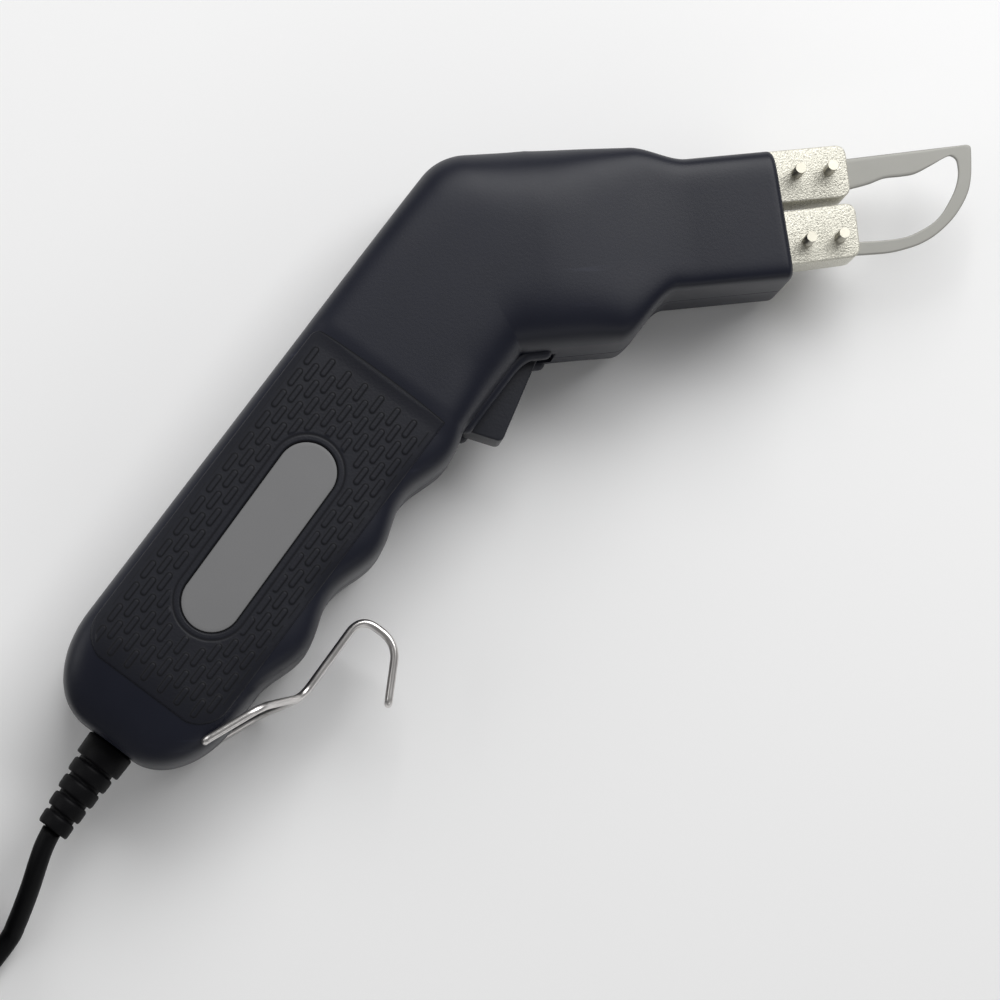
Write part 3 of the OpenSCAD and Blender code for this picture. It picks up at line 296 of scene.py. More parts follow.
def new_group(name, inputs, outputs):
    """Empty shader group with named values in and out."""
    group = bpy.data.node_groups.new(name, "ShaderNodeTree")
    for label, value in inputs:
        socket = group.interface.new_socket(label, in_out="INPUT", socket_type="NodeSocketFloat")
        socket.default_value = value
    for label in outputs:
        group.interface.new_socket(label, in_out="OUTPUT", socket_type="NodeSocketFloat")
    return group, group.nodes.new("NodeGroupInput"), group.nodes.new("NodeGroupOutput")


def node(tree, kind, links=(), **values):
    """A node with its settings, its socket values and its links."""
    made = tree.nodes.new(kind)
    for key, value in values.items():
        if hasattr(made, key):
            setattr(made, key, value)
        else:
            made.inputs[key.replace("_", " ")].default_value = value
    for source, target in links:
        tree.links.new(source, made.inputs[target])
    return made


def feed(tree, socket, value):
    """A link where the value is another node's socket, and otherwise a plain value."""
    if isinstance(value, bpy.types.NodeSocket):
        tree.links.new(value, socket)
    else:
        socket.default_value = value


def math_node(tree, operation, a, b):
    """Sum or product of two values, each a number or another node's socket."""
    made = node(tree, "ShaderNodeMath", operation=operation)
    feed(tree, made.inputs[0], a)
    feed(tree, made.inputs[1], b)
    return made.outputs[0]


def ramp(tree, source, low, high, a=0.0, b=1.0):
    """Value from a at low to b at high, held outside."""
    limits = {"From_Min": low, "From_Max": high, "To_Min": a, "To_Max": b}
    return node(tree, "ShaderNodeMapRange", [(source, "Value")], **limits).outputs["Result"]


def noise(tree, vector, scale, detail=3.0, roughness=0.55):
    """Layered noise at a place, between 0 and 1."""
    made = node(tree, "ShaderNodeTexNoise", [(vector, "Vector")], Detail=detail, Roughness=roughness)
    feed(tree, made.inputs["Scale"], scale)
    return made.outputs["Fac"]


def object_place(tree):
    """Place on the piece in its own axes."""
    return node(tree, "ShaderNodeTexCoord").outputs["Object"]


# Moulding grain: fine noise for the height, broad noise for patches of sheen
GRAIN, g_in, g_out = new_group("moulding_grain", [("Fine scale", 1400), ("Patch scale", 28)],
                               ["Height", "Patch"])
place = object_place(GRAIN)
GRAIN.links.new(noise(GRAIN, place, g_in.outputs["Fine scale"], 2.0), g_out.inputs["Height"])
GRAIN.links.new(noise(GRAIN, place, g_in.outputs["Patch scale"], 4.0), g_out.inputs["Patch"])

# Scuffs: long thin noise turned along the handle, kept only where a broad noise is high
SCUFF, g_in, g_out = new_group("handling_scuffs", [("Amount", 0.5)], ["Mask"])
place = object_place(SCUFF)
lay = node(SCUFF, "ShaderNodeMapping", [(place, "Vector")], Rotation=(0, 0, -BEND), Scale=(18, 320, 320))
lines = ramp(SCUFF, noise(SCUFF, lay.outputs[0], 1.0, 3.0, 0.6), 0.64, 0.72)
where = ramp(SCUFF, noise(SCUFF, place, 34.0, 2.0), 0.52, 0.66)
mask = math_node(SCUFF, "MULTIPLY", lines, where)
SCUFF.links.new(math_node(SCUFF, "MULTIPLY", mask, g_in.outputs["Amount"]), g_out.inputs["Mask"])


def start_material(name):
    """New material with its node tree and its surface shader."""
    material = bpy.data.materials.new(name)
    material.use_nodes = True
    tree = material.node_tree
    return material, tree, tree.nodes["Principled BSDF"]


def use_group(tree, group, **values):
    """A group placed in a material with its own values."""
    made = tree.nodes.new("ShaderNodeGroup")
    made.node_tree = group
    for key, value in values.items():
        made.inputs[key.replace("_", " ")].default_value = value
    return made


def colours(tree, factor, a, b):
    """Colour from a to b by the factor, where a is a colour or another node's socket."""
    made = node(tree, "ShaderNodeMix", data_type="RGBA")
    tree.links.new(factor, made.inputs[0])
    feed(tree, made.inputs[6], a if isinstance(a, bpy.types.NodeSocket) else (*a, 1))
    made.inputs[7].default_value = (*b, 1)
    return made.outputs[2]


def bump(tree, shader, height, distance):
    """Surface turned by a height, at its full strength over a distance in metres."""
    made = node(tree, "ShaderNodeBump", [(height, "Height")], Distance=distance)
    tree.links.new(made.outputs["Normal"], shader.inputs["Normal"])


def plastic(name, dark, light, rough, fine=1400.0, depth=0.00004, scuffs=0.25, grooves=False, specular=0.5):
    """Matte moulding: two close tones by patch, sheen that varies by patch, fine grain and a few scuffs.
    Marked grooves, gaps and outlines get painted shade in their colour, and are duller."""
    material, tree, shader = start_material(name)
    grain = use_group(tree, GRAIN, Fine_scale=fine)
    worn = use_group(tree, SCUFF, Amount=scuffs)
    tone = colours(tree, ramp(tree, grain.outputs["Patch"], 0.3, 0.7), dark, light)
    tone = colours(tree, worn.outputs["Mask"], tone, [min(1, 3 * c + 0.02) for c in light])
    sheen = ramp(tree, grain.outputs["Patch"], 0.25, 0.75, rough - 0.05, rough + 0.06)
    if grooves:
        # Painted shade: the point attribute darkens the colour of gaps, grooves and outlines, and makes them
        # duller
        shade_mask = node(tree, "ShaderNodeAttribute", attribute_name="painted_shade").outputs["Fac"]
        tone = colours(tree, shade_mask, tone, [0.25 * c for c in dark])
        sheen = math_node(tree, "ADD", sheen, math_node(tree, "MULTIPLY", shade_mask, 0.45))
    tree.links.new(tone, shader.inputs["Base Color"])
    tree.links.new(sheen, shader.inputs["Roughness"])
    shader.inputs["Specular IOR Level"].default_value = specular
    bump(tree, shader, grain.outputs["Height"], depth)
    return material


def metal(name, dark, light, rough, metallic=1.0, patch=60.0, fine=900.0, depth=0.00001):
    """Plain metal: two close tones by patch, and a fine unevenness in its gloss and surface."""
    material, tree, shader = start_material(name)
    grain = use_group(tree, GRAIN, Fine_scale=fine, Patch_scale=patch)
    tone = colours(tree, ramp(tree, grain.outputs["Patch"], 0.3, 0.7), dark, light)
    sheen = ramp(tree, grain.outputs["Patch"], 0.2, 0.8, rough - 0.05, rough + 0.07)
    tree.links.new(tone, shader.inputs["Base Color"])
    tree.links.new(sheen, shader.inputs["Roughness"])
    shader.inputs["Metallic"].default_value = metallic
    bump(tree, shader, grain.outputs["Height"], depth)
    return material


def casting(name, dark, light):
    """Rough casting: grainy noise and small cell pits in the surface, with darker hollows."""
    material, tree, shader = start_material(name)
    place = object_place(tree)
    grain = noise(tree, place, 2300.0, 3.0, 0.6)
    cells = node(tree, "ShaderNodeTexVoronoi", [(place, "Vector")], Scale=1900.0).outputs["Distance"]
    height = math_node(tree, "ADD", grain, math_node(tree, "MULTIPLY", cells, 0.45))
    patch = math_node(tree, "MULTIPLY", noise(tree, place, 90.0, 3.0), 0.3)
    shade = math_node(tree, "ADD", math_node(tree, "MULTIPLY", height, 0.7), patch)
    tree.links.new(colours(tree, ramp(tree, shade, 0.36, 0.64), dark, light), shader.inputs["Base Color"])
    tree.links.new(ramp(tree, grain, 0.3, 0.7, 0.5, 0.34), shader.inputs["Roughness"])
    shader.inputs["Metallic"].default_value = 0.55
    bump(tree, shader, height, 0.00017)
    return material


MOULDING = plastic("casing_moulding", (0.0042, 0.0054, 0.0128), (0.0056, 0.007, 0.0158), 0.44,
                   depth=0.000018, specular=0.34)
# The grip's pads carry painted shade in their marked gaps, bezel ring and dash outlines
GRIP = plastic("grip_moulding", (0.005, 0.0057, 0.0104), (0.0068, 0.0077, 0.0134), 0.48,
               grooves=True, scuffs=0.1, specular=0.3)
PLATE = plastic("plate_print", (0.158, 0.158, 0.161), (0.17, 0.17, 0.173), 0.5, 2200.0, 0.00001, 0.02)
KEY = plastic("trigger_moulding", (0.0082, 0.009, 0.0145), (0.0112, 0.0123, 0.0188), 0.42, specular=0.36)
CORD = plastic("cord_jacket", (0.003, 0.003, 0.0036), (0.0045, 0.0045, 0.0053), 0.5, 1800.0, 0.00003, 0.1,
               specular=0.1)
HOUSING = plastic("switch_moulding", (0.02, 0.02, 0.02), (0.028, 0.028, 0.028), 0.45)
RED = plastic("plunger_moulding", (0.42, 0.03, 0.025), (0.5, 0.04, 0.03), 0.35)
CREAM = plastic("bobbin_moulding", (0.6, 0.52, 0.36), (0.7, 0.62, 0.45), 0.45)
BOARD = plastic("insulating_board", (0.25, 0.15, 0.075), (0.34, 0.21, 0.11), 0.6, 700.0, 0.00008)
BROWN = plastic("live_jacket", (0.16, 0.07, 0.03), (0.2, 0.09, 0.04), 0.35)
BLUE = plastic("neutral_jacket", (0.03, 0.1, 0.3), (0.04, 0.13, 0.36), 0.35)
BLACK = plastic("switched_jacket", (0.012, 0.012, 0.012), (0.018, 0.018, 0.018), 0.35)
CASTING = casting("electrode_casting", (0.232, 0.224, 0.184), (0.67, 0.652, 0.57))
SHEET = metal("blade_sheet", (0.27, 0.267, 0.245), (0.31, 0.307, 0.285), 0.46, 0.35, 50.0, 1500.0, 0.000006)
WIRE = metal("stand_wire", (0.64, 0.62, 0.605), (0.76, 0.74, 0.725), 0.3, 1.0, 120.0, 2000.0, 0.000004)
ZINC = metal("screw_plating", (0.5, 0.48, 0.405), (0.64, 0.62, 0.54), 0.37, 0.9)
STEEL = metal("bright_steel", (0.55, 0.55, 0.56), (0.64, 0.64, 0.65), 0.25)
IRON = metal("core_varnish", (0.06, 0.055, 0.05), (0.1, 0.09, 0.08), 0.45, 0.6)
COPPER = metal("bare_copper", (0.55, 0.2, 0.1), (0.68, 0.27, 0.14), 0.32)
BRASS = metal("plated_brass", (0.62, 0.56, 0.42), (0.74, 0.68, 0.54), 0.25)

# Inner pieces that keep their CAD meshes
KEPT_NODES = {"trigger_pin": STEEL, "switch_body": HOUSING, "switch_plunger": RED, "switch_tabs": BRASS,
              "core_e_stack": IRON, "core_i_stack": IRON, "bobbin": CREAM, "cord_clamp": CREAM,
              "primary_winding": COPPER, "secondary_strap": COPPER, "nose_insulator": BOARD,
              "clamp_screws": ZINC, "live_lead": BROWN, "neutral_lead": BLUE, "switched_lead": BLACK,
              "cord_inner": CORD}
for name, finish in KEPT_NODES.items():
    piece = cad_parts[name]
    piece.data.materials.clear()
    piece.data.materials.append(finish)


# Cord and coil

CORD_R, CORD_STEP, CORD_RING, CORD_SIDES = 2.6, 1.5, 1.6, 20
# Strain relief: its root on the handle, its length and its bow
RELIEF_ROOT, RELIEF_LEN, RELIEF_BOW = 163.3, 26.2, 0.9
RELIEF_END = RELIEF_ROOT + RELIEF_LEN
# Coil: its middle, mean radius, step from turn to turn, and the straight lead at each end
COIL_X, COIL_Y, COIL_R, COIL_STEP, COIL_LEAD = -191, -165, 30.5, 5.8, 5.2
COIL_TURNS, COIL_LAYERS, COIL_FROM, COIL_POINTS = 8.4, 4, math.radians(-35), 420
FLOOR_GAP = 1
PLUG = np.array([-229, -118, -15.0])


def relief_axis(s):
    """Middle line of the strain relief, bowed towards the finger side as a square law of s."""
    t = np.clip((np.asarray(s, float) - RELIEF_ROOT) / RELIEF_LEN, 0, 1)
    return RELIEF_BOW * t * t


def coil_line():
    """Stored coil: radius runs in and out at a steady rate over its layers, height climbs a layer in the half
    turn at each reversal, turning clockwise from its start angle. Also gives the directions at its ends."""
    per = COIL_TURNS / COIL_LAYERS
    u = np.linspace(0, COIL_TURNS - 0.001, COIL_POINTS)
    k = np.floor(u / per)
    f = u / per - k
    r = COIL_R + np.where(k % 2 == 0, 1, -1) * COIL_STEP * per * (0.5 - f)
    climb = sum(ease(2 * (u - j * per) + 0.5) for j in range(1, COIL_LAYERS))
    z = CORD_R - HALF + FLOOR_GAP + COIL_STEP * climb
    a = COIL_FROM - 2 * np.pi * u
    body = np.stack([COIL_X + r * np.cos(a), COIL_Y + r * np.sin(a), z], 1)
    first, last = (np.array([math.sin(b), -math.cos(b), 0]) for b in (a[0], a[-1]))
    line = np.concatenate([[body[0] - COIL_LEAD * first], body, [body[-1] + COIL_LEAD * last]])
    return line, first, last


coil, coil_first, coil_last = coil_line()
inside, relief_exit = (handle_place([s, relief_axis(s), 0]) for s in (RELIEF_END - 4, RELIEF_END))
cord_points = [inside, relief_exit, (-131.05, -143.0, -1.0), (-133.3, -147.6, -2.8), (-135.5, -152.4, -6),
               (-137.9, -157, -10), (-140.5, -161.6, -14), (-143.9, -166.6, -17.5),
               coil[0] - CORD_R * coil_first, coil[0]]
plug_points = [coil[-1], coil[-1] + CORD_R * coil_last, (-228.5, -152, -3), (-229, -141, -7),
               (-229, -130, -11), (-229, -120.6, -15), PLUG]
cord_line = np.concatenate([smooth_line(cord_points, CORD_STEP, skip=1)[:-1], coil,
                            smooth_line(plug_points, CORD_STEP)[1:]])
cord_path = even_line(cord_line, CORD_RING)
cord = add_rings("mains_cord_tube", swept(cord_path, CORD_R, CORD_SIDES), CORD, "rubber",
                 replaces=("mains_cord", "cord_coil", "plug_lead"))


# Casing

# Handle: its length, its two edges, its half thickness, and the finger swells of its under edge
HANDLE_LEN, HANDLE_BACK, HANDLE_UNDER, GRIP_HALF = 163.0, 25.0, 24.1, 21.3
SWELL_HIGH, SWELL_PITCH, SWELL_FIRST, SWELL_COUNT = 1.75, 31.3, 52.0, 2.75
# Tail: the length of its round end, and how far its edges and sides fall there
TAIL_ROUND, TAIL_BACK, TAIL_UNDER, TAIL_SIDE = 23.0, 15.5, 16.0, 11.0
# Shoulder: where the handle starts to thin towards the grip, and over what length
SHOULDER, SHOULDER_LEN = 42.7, 8.0
# Bend: where its rows start on the handle and end on the head
FAN_S, FAN_X = 24.0, 12.0
# Head and nose: edges, the radius of the bend, and the steps from head to nose
HEAD_TOP, HEAD_UNDER, HEAD_R = 24.6, 30.0, 16.0
TOP_STEP, TOP_SLOPE, TOP_DROP = 38.0, 2.6, 4.7
UNDER_STEP, UNDER_RUN = 31.0, 16.5
NOSE_FROM, NOSE, NOSE_HALF, NOSE_UNDER, NOSE_ROUND, NOSE_LEAN = 54.0, 78.2, 19.0, 18.0, 1.8, 1.3
# Powers of the sections, over and under, and where the handle's lower one changes
HANDLE_POWER, HEAD_POWERS, NOSE_POWERS, POWER_SPAN = 7.0, (3.6, 4.6), (8.0, 12.0), (28, 20)
# Wall, parting line, bed under a pad, and the shrinking rows that close an end
CASING_WALL, SEAM_SHARE, PAD_BED, BED_SHARE = 2.2, 0.22 / 24, 0.6, 0.7
CLOSING_SHARES = np.array([0.02, 0.5, 0.85])
# Trigger slot and the lip along it
SLOT_END, SLOT_FRONT, SLOT_HALF, SLOT_DEEP = 43.9, 14.5, 6.9, 15
LIP_R, LIP_Z, LIP_SINK, LIP_FRONT, LIP_END, LIP_CORNER = 2.0, 9.4, 0.4, 11.2, 42.2, 6.0
# Outline of a pad: its seam, tail end, two sides and the radius of its tail corners
PAD_START, PAD_SLANT, PAD_END, PAD_BACK, PAD_FRONT, PAD_R = 46.7, 0.3, 147.8, 22.4, 19.2, 9.0
# Bores and wells of the case screws
BORE_R, BORE_SEAT, BORE_OVERRUN = 3.1, 12.0, 3
WELL_R, WELL_BORE, WELL_FLOOR, WELL_SIDES = 4.3, 1.5, 11.4, 40
# Heights of the casing's grid lines near the parting line
EDGE_LINES = np.array([0, 0.3, 1, 3, 5, SLOT_HALF, 9.5, 12.5])

# Case screws: x, y and the height of the top of the well
CASE_SCREWS = [(-9.25, 14.5, 20.8), (48, 1, 17.9), (34, -19.5, 18.6), (*on_handle(59.0, -15.2), 21.45),
               (*on_handle(104.856, 14.85), 21.45), (*on_handle(141, -13), 21.3)]


def handle_rows(s):
    """Edges and half thickness of the handle at s: the back is straight, the under edge is its mean plus a
    sine of s, and the tail falls away as a quarter circle."""
    t = np.clip((s - HANDLE_LEN + TAIL_ROUND) / TAIL_ROUND, 0, 1)
    fall = 1 - np.sqrt(1 - t * t)
    share = np.clip((s - SWELL_FIRST + SWELL_PITCH / 4) / (SWELL_COUNT * SWELL_PITCH), 0, 1)
    under = HANDLE_UNDER + SWELL_HIGH * np.sin(2 * SWELL_COUNT * np.pi * share)
    side = mix(HALF, GRIP_HALF, ease((s - SHOULDER) / SHOULDER_LEN))
    return TAIL_BACK * fall - HANDLE_BACK, under - TAIL_UNDER * fall, side - TAIL_SIDE * fall


def handle_stations():
    """Rows of the handle from the tail to the bend, closest together round the tail."""
    start = HANDLE_LEN - TAIL_ROUND
    s = np.concatenate([start + TAIL_ROUND * np.cos(np.linspace(0, np.pi / 2, 36))[:-1],
                        np.linspace(start, SLOT_END, 130)[:-1], np.linspace(SLOT_END, FAN_S, 24)])
    back, under, half = handle_rows(s)
    p_low = mix(HEAD_POWERS[1], HANDLE_POWER, past(s, POWER_SPAN))
    return on_handle(s, back), on_handle(s, under), half, np.full(len(s), HANDLE_POWER), p_low


def bend_stations():
    """Rows round the bend at equal shares of two lines: the top edge runs straight, round an arc and straight
    again, and the under edge turns at a corner."""
    f = np.linspace(0, 1, 60)[1:]
    cos, sin = math.cos(BEND), math.sin(BEND)
    cy = HEAD_TOP - HEAD_R
    cx = (cy * cos - HANDLE_BACK + HEAD_R) / sin
    straight, arc = FAN_S + cx * cos + cy * sin, HEAD_R * BEND
    d = f * (straight + arc + FAN_X - cx)
    a = np.pi / 2 + BEND - (np.clip(d, straight, straight + arc) - straight) / HEAD_R
    bent = np.stack([cx + HEAD_R * np.cos(a), cy + HEAD_R * np.sin(a)], 1)
    bent[:, 0] += np.clip(d - straight - arc, 0, None)
    top = np.where((d < straight)[:, None], on_handle(FAN_S - d, np.full(len(d), -HANDLE_BACK)), bent)
    corner = (HANDLE_UNDER - HEAD_UNDER * cos) / sin
    run = FAN_S + corner * cos - HEAD_UNDER * sin
    e = f * (run + FAN_X - corner)
    level = np.stack([corner + e - run, np.full(len(e), -HEAD_UNDER)], 1)
    low = np.where((e < run)[:, None], on_handle(FAN_S - e, np.full(len(e), HANDLE_UNDER)), level)
    p_top = mix(HANDLE_POWER, HEAD_POWERS[0], ease(f))
    return top, low, np.full(len(f), HALF), p_top, np.full(len(f), HEAD_POWERS[1])


def head_stations():
    """Rows of the head and nose: the edges step down to the nose by smooth steps in x, the nose ends in a
    small quarter round, and its front leans back at the top."""
    start = NOSE - NOSE_ROUND
    x = np.concatenate([np.linspace(FAN_X, SLOT_FRONT, 5)[1:], np.linspace(SLOT_FRONT, NOSE_FROM, 90)[1:],
                        np.linspace(NOSE_FROM, start, 20)[1:],
                        start + NOSE_ROUND * np.sin(np.linspace(0, np.pi / 2, 9))[1:]])
    t = ease((x - FAN_X) / (NOSE_FROM - FAN_X))
    turn_in = quarter(NOSE_ROUND, NOSE - x)
    slope = TOP_SLOPE * np.clip((x - FAN_X) / (TOP_STEP - FAN_X), 0, 1)
    top = HEAD_TOP - slope - TOP_DROP * ease((x - TOP_STEP) / (NOSE_FROM - TOP_STEP)) - turn_in
    low = mix(-HEAD_UNDER, -NOSE_UNDER, ease((x - UNDER_STEP) / UNDER_RUN)) + turn_in
    top_x = x - NOSE_LEAN * ease((x - NOSE_FROM) / (NOSE - NOSE_FROM))
    p_top, p_low = mix(HEAD_POWERS[0], NOSE_POWERS[0], t), mix(HEAD_POWERS[1], NOSE_POWERS[1], t ** 2)
    return np.stack([top_x, top], 1), np.stack([x, low], 1), mix(HALF, NOSE_HALF, t) - turn_in, p_top, p_low


def casing_half(side):
    """One half of the casing: each row is the curve |u|^p + |v|^p = 1 between its two edges, from the parting
    line under the casing round the side to the parting line on top, with a shallow bed under the pad. The two
    end rows shrink to close the ends, and the trigger's slot is left open."""
    parts = (handle_stations(), bend_stations(), head_stations())
    top, low, half, p_top, p_low = (np.concatenate(column) for column in zip(*parts))
    lines = EDGE_LINES * np.minimum(1, half[:, None] / NOSE_HALF)
    under = np.arcsin((lines / half[:, None]) ** (p_low[:, None] / 2))
    over = np.arcsin((lines / half[:, None]) ** (p_top[:, None] / 2))[:, ::-1]
    t = np.linspace(0, 1, 27)[1:]
    low_phi = np.concatenate([under, mix(under[:, -1:], np.pi / 2, t)], 1)
    top_phi = np.concatenate([mix(np.pi / 2, over[:, :1], t)[:, :-1], over], 1)
    u = np.concatenate([-np.abs(np.cos(low_phi)) ** (2 / p_low[:, None]),
                        np.abs(np.cos(top_phi)) ** (2 / p_top[:, None])], 1)
    v = np.concatenate([np.sin(low_phi) ** (2 / p_low[:, None]), np.sin(top_phi) ** (2 / p_top[:, None])], 1)
    u[:, [0, -1]] *= 1 - SEAM_SHARE
    mid, reach = (top + low) / 2, (top - low) / 2
    xy = mid[:, None] + reach[:, None] * u[..., None]
    s, n = xy @ ALONG, xy @ ACROSS
    bed = ease((n + PAD_BACK) / 2 - 1) * ease((PAD_FRONT - n) / 2 - 1)
    bed = bed * ease((s - PAD_START) / 2 - 1) * ease((PAD_END - s) / 3 - 1)
    z = half[:, None] * v - PAD_BED * bed * (v > BED_SHARE)
    grid = np.concatenate([xy, side * z[..., None]], -1)
    heart = np.concatenate([mid, np.zeros((len(mid), 1))], 1)
    first = heart[0] + (grid[0] - heart[0]) * CLOSING_SHARES[:, None, None]
    last = heart[-1] + (grid[-1] - heart[-1]) * CLOSING_SHARES[::-1, None, None]
    grid = np.concatenate([first, grid, last])
    faces = grid_faces(*grid.shape[:2])
    centre = grid.reshape(-1, 3)[faces].mean(1)
    s, n, x = centre[:, :2] @ ALONG, centre[:, :2] @ ACROSS, centre[:, 0]
    slot = (np.abs(centre[:, 2]) < SLOT_HALF) & (n > SLOT_DEEP) & (s < SLOT_END) & (x < SLOT_FRONT)
    return grid, faces[~slot][:, ::side]


def bored(piece, places):
    """The piece with round holes through its right side: a set of cylinders is taken away from it."""
    rod = turned([(BORE_R, -HALF - BORE_OVERRUN), (BORE_R, -BORE_SEAT)], WELL_SIDES)
    points, faces, caps = joined([rod + np.array([x, y, 0]) for x, y, _ in places])
    mesh = bpy.data.meshes.new("bore_cutter")
    mesh.from_pydata(to_part(points).tolist(), [], faces.tolist() + caps)
    cutter = bpy.data.objects.new("bore_cutter", mesh)
    bpy.context.collection.objects.link(cutter)
    cut = piece.modifiers.new("bores", "BOOLEAN")
    cut.operation, cut.solver, cut.object = "DIFFERENCE", "EXACT", cutter
    bpy.context.view_layer.update()
    result = bpy.data.meshes.new_from_object(piece.evaluated_get(bpy.context.evaluated_depsgraph_get()))
    result.set_sharp_from_angle(angle=CRISP)
    piece.modifiers.clear()
    piece.data = result
    bpy.data.objects.remove(cutter)


def well(x, y, top):
    """Screw well: a ring turned from an L profile, a wall down to the seat and the seat round the screw."""
    profile = [(WELL_BORE, -WELL_FLOOR), (WELL_BORE, -BORE_SEAT), (BORE_R, -BORE_SEAT), (BORE_R, -top),
               (WELL_R, -top), (WELL_R, -WELL_FLOOR), (WELL_BORE, -WELL_FLOOR)]
    return turned(profile, WELL_SIDES) + np.array([x, y, 0])


for side, name in ((1, "left"), (-1, "right")):
    grid, faces = casing_half(side)
    piece = add_piece(name + "_casing", grid, faces, MOULDING, "shell", replaces=(name + "_shell",))
    wall = piece.modifiers.new("wall", "SOLIDIFY")
    wall.thickness = CASING_WALL * 0.001
    wall.offset = -1
    if side < 0:
        bored(piece, CASE_SCREWS)
    lip_n, lip_y, lip_z = HANDLE_UNDER - LIP_SINK, LIP_SINK - HEAD_UNDER, LIP_Z * side
    corner = (lip_n + lip_y * math.cos(BEND)) / math.sin(BEND)
    path = [(LIP_FRONT, lip_y, lip_z), (corner, lip_y, lip_z), (*on_handle(LIP_END, lip_n), lip_z)]
    path = even_line(filleted(path, LIP_CORNER, 12, closed=False), 0.8)
    add_wire(name + "_slot_lip", path, LIP_R, 18, MOULDING, "shell")

points, faces, _ = joined([well(*place) for place in CASE_SCREWS])
add_piece("screw_wells", points, faces, MOULDING, "shell", smooth=False)


# Grip pads and plates

# Plate: its place, size and tilt, then its grid
PLATE_S, PLATE_N, PLATE_LEN, PLATE_W, PLATE_TILT = 98.856, -1.2, 56.7, 15.6, math.radians(1)
PLATE_RUN = (PLATE_LEN - PLATE_W) / 2
PLATE_SIDES, PLATE_RINGS, PLATE_ROUND, PLATE_DROP = 128, 9, 0.25, 1.4
PLATE_MIDDLE_SHARE, PLATE_EDGE_SHARE = 0.04, 0.03
# Pad: its grid, its height over the casing, its edges, and the bezel round the plate
PAD_ROWS, PAD_COLS, PAD_TOP_GAP = 440, 190, 0.02
PAD_LIFT, PAD_EDGE, PAD_SKIRT, PAD_BOW, SEAM_CORNER = 0.4, 0.6, 0.9, 0.6, 2.5
BEZEL, BEZEL_W, BEZEL_DEPTH, PLATE_SINK = 2.05, 0.24, 0.2, 0.8
# Dashes: a first one, their pitch along and across, their form, and how far they keep from other edges
DASH_S, DASH_N, DASH_ALONG, DASH_ACROSS = 50, -10.85, 6.9, 2.62
DASH_HALF, DASH_R, DASH_HIGH, DASH_LINE, DASH_LINE_W = 1.93, 0.62, 0.2, 0.12, 0.22
DASH_TO_SEAM, DASH_TO_TAIL, DASH_TO_PLATE = 3.3, 3.6, 2.75
# Painted shade: how dark the outlines round the dashes, the bezel ring and the seam line are painted
DASH_SHADE, BEZEL_SHADE, SEAM_SHADE = 0.95, 0.8, 0.9
# Starts and widths of the pad's soft steps
SINK_SPAN, EDGE_SPAN, RIM_SPAN, DASH_SPAN = (0.1, 0.4), (1.6, 0.5), (2.7, 0.5), (-0.2, 0.5)
# Painted shade in the plate's recess and along the seam fades out over these spans
SINK_SHADE_SPAN, SEAM_SHADE_SPAN = (0.15, 0.45), (0.25, 0.4)


def to_plate(s, n):
    """Signed distance from the edge of the plate, less than 0 inside it."""
    s, n = s - PLATE_S, n - PLATE_N
    a = s * math.cos(PLATE_TILT) + n * math.sin(PLATE_TILT)
    b = n * math.cos(PLATE_TILT) - s * math.sin(PLATE_TILT)
    return np.hypot(np.maximum(np.abs(a) - PLATE_RUN, 0), b) - PLATE_W / 2


def to_dash(s, n):
    """Signed distance from the nearest dash of the staggered columns, and whether the whole dash is clear of
    the pad's ends and of the bezel."""
    column = np.round((n - DASH_N) / DASH_ACROSS)
    u = s - DASH_S - DASH_ALONG / 2 * (column % 2)
    u = u - DASH_ALONG * np.round(u / DASH_ALONG)
    v = n - DASH_N - DASH_ACROSS * column
    clear = (s - u > PAD_START + DASH_TO_SEAM) & (s - u < PAD_END - DASH_TO_TAIL)
    whole = clear & (to_plate(s - u, n - v) > DASH_TO_PLATE)
    return np.hypot(np.maximum(np.abs(u) - DASH_HALF, 0), v) - DASH_R, whole


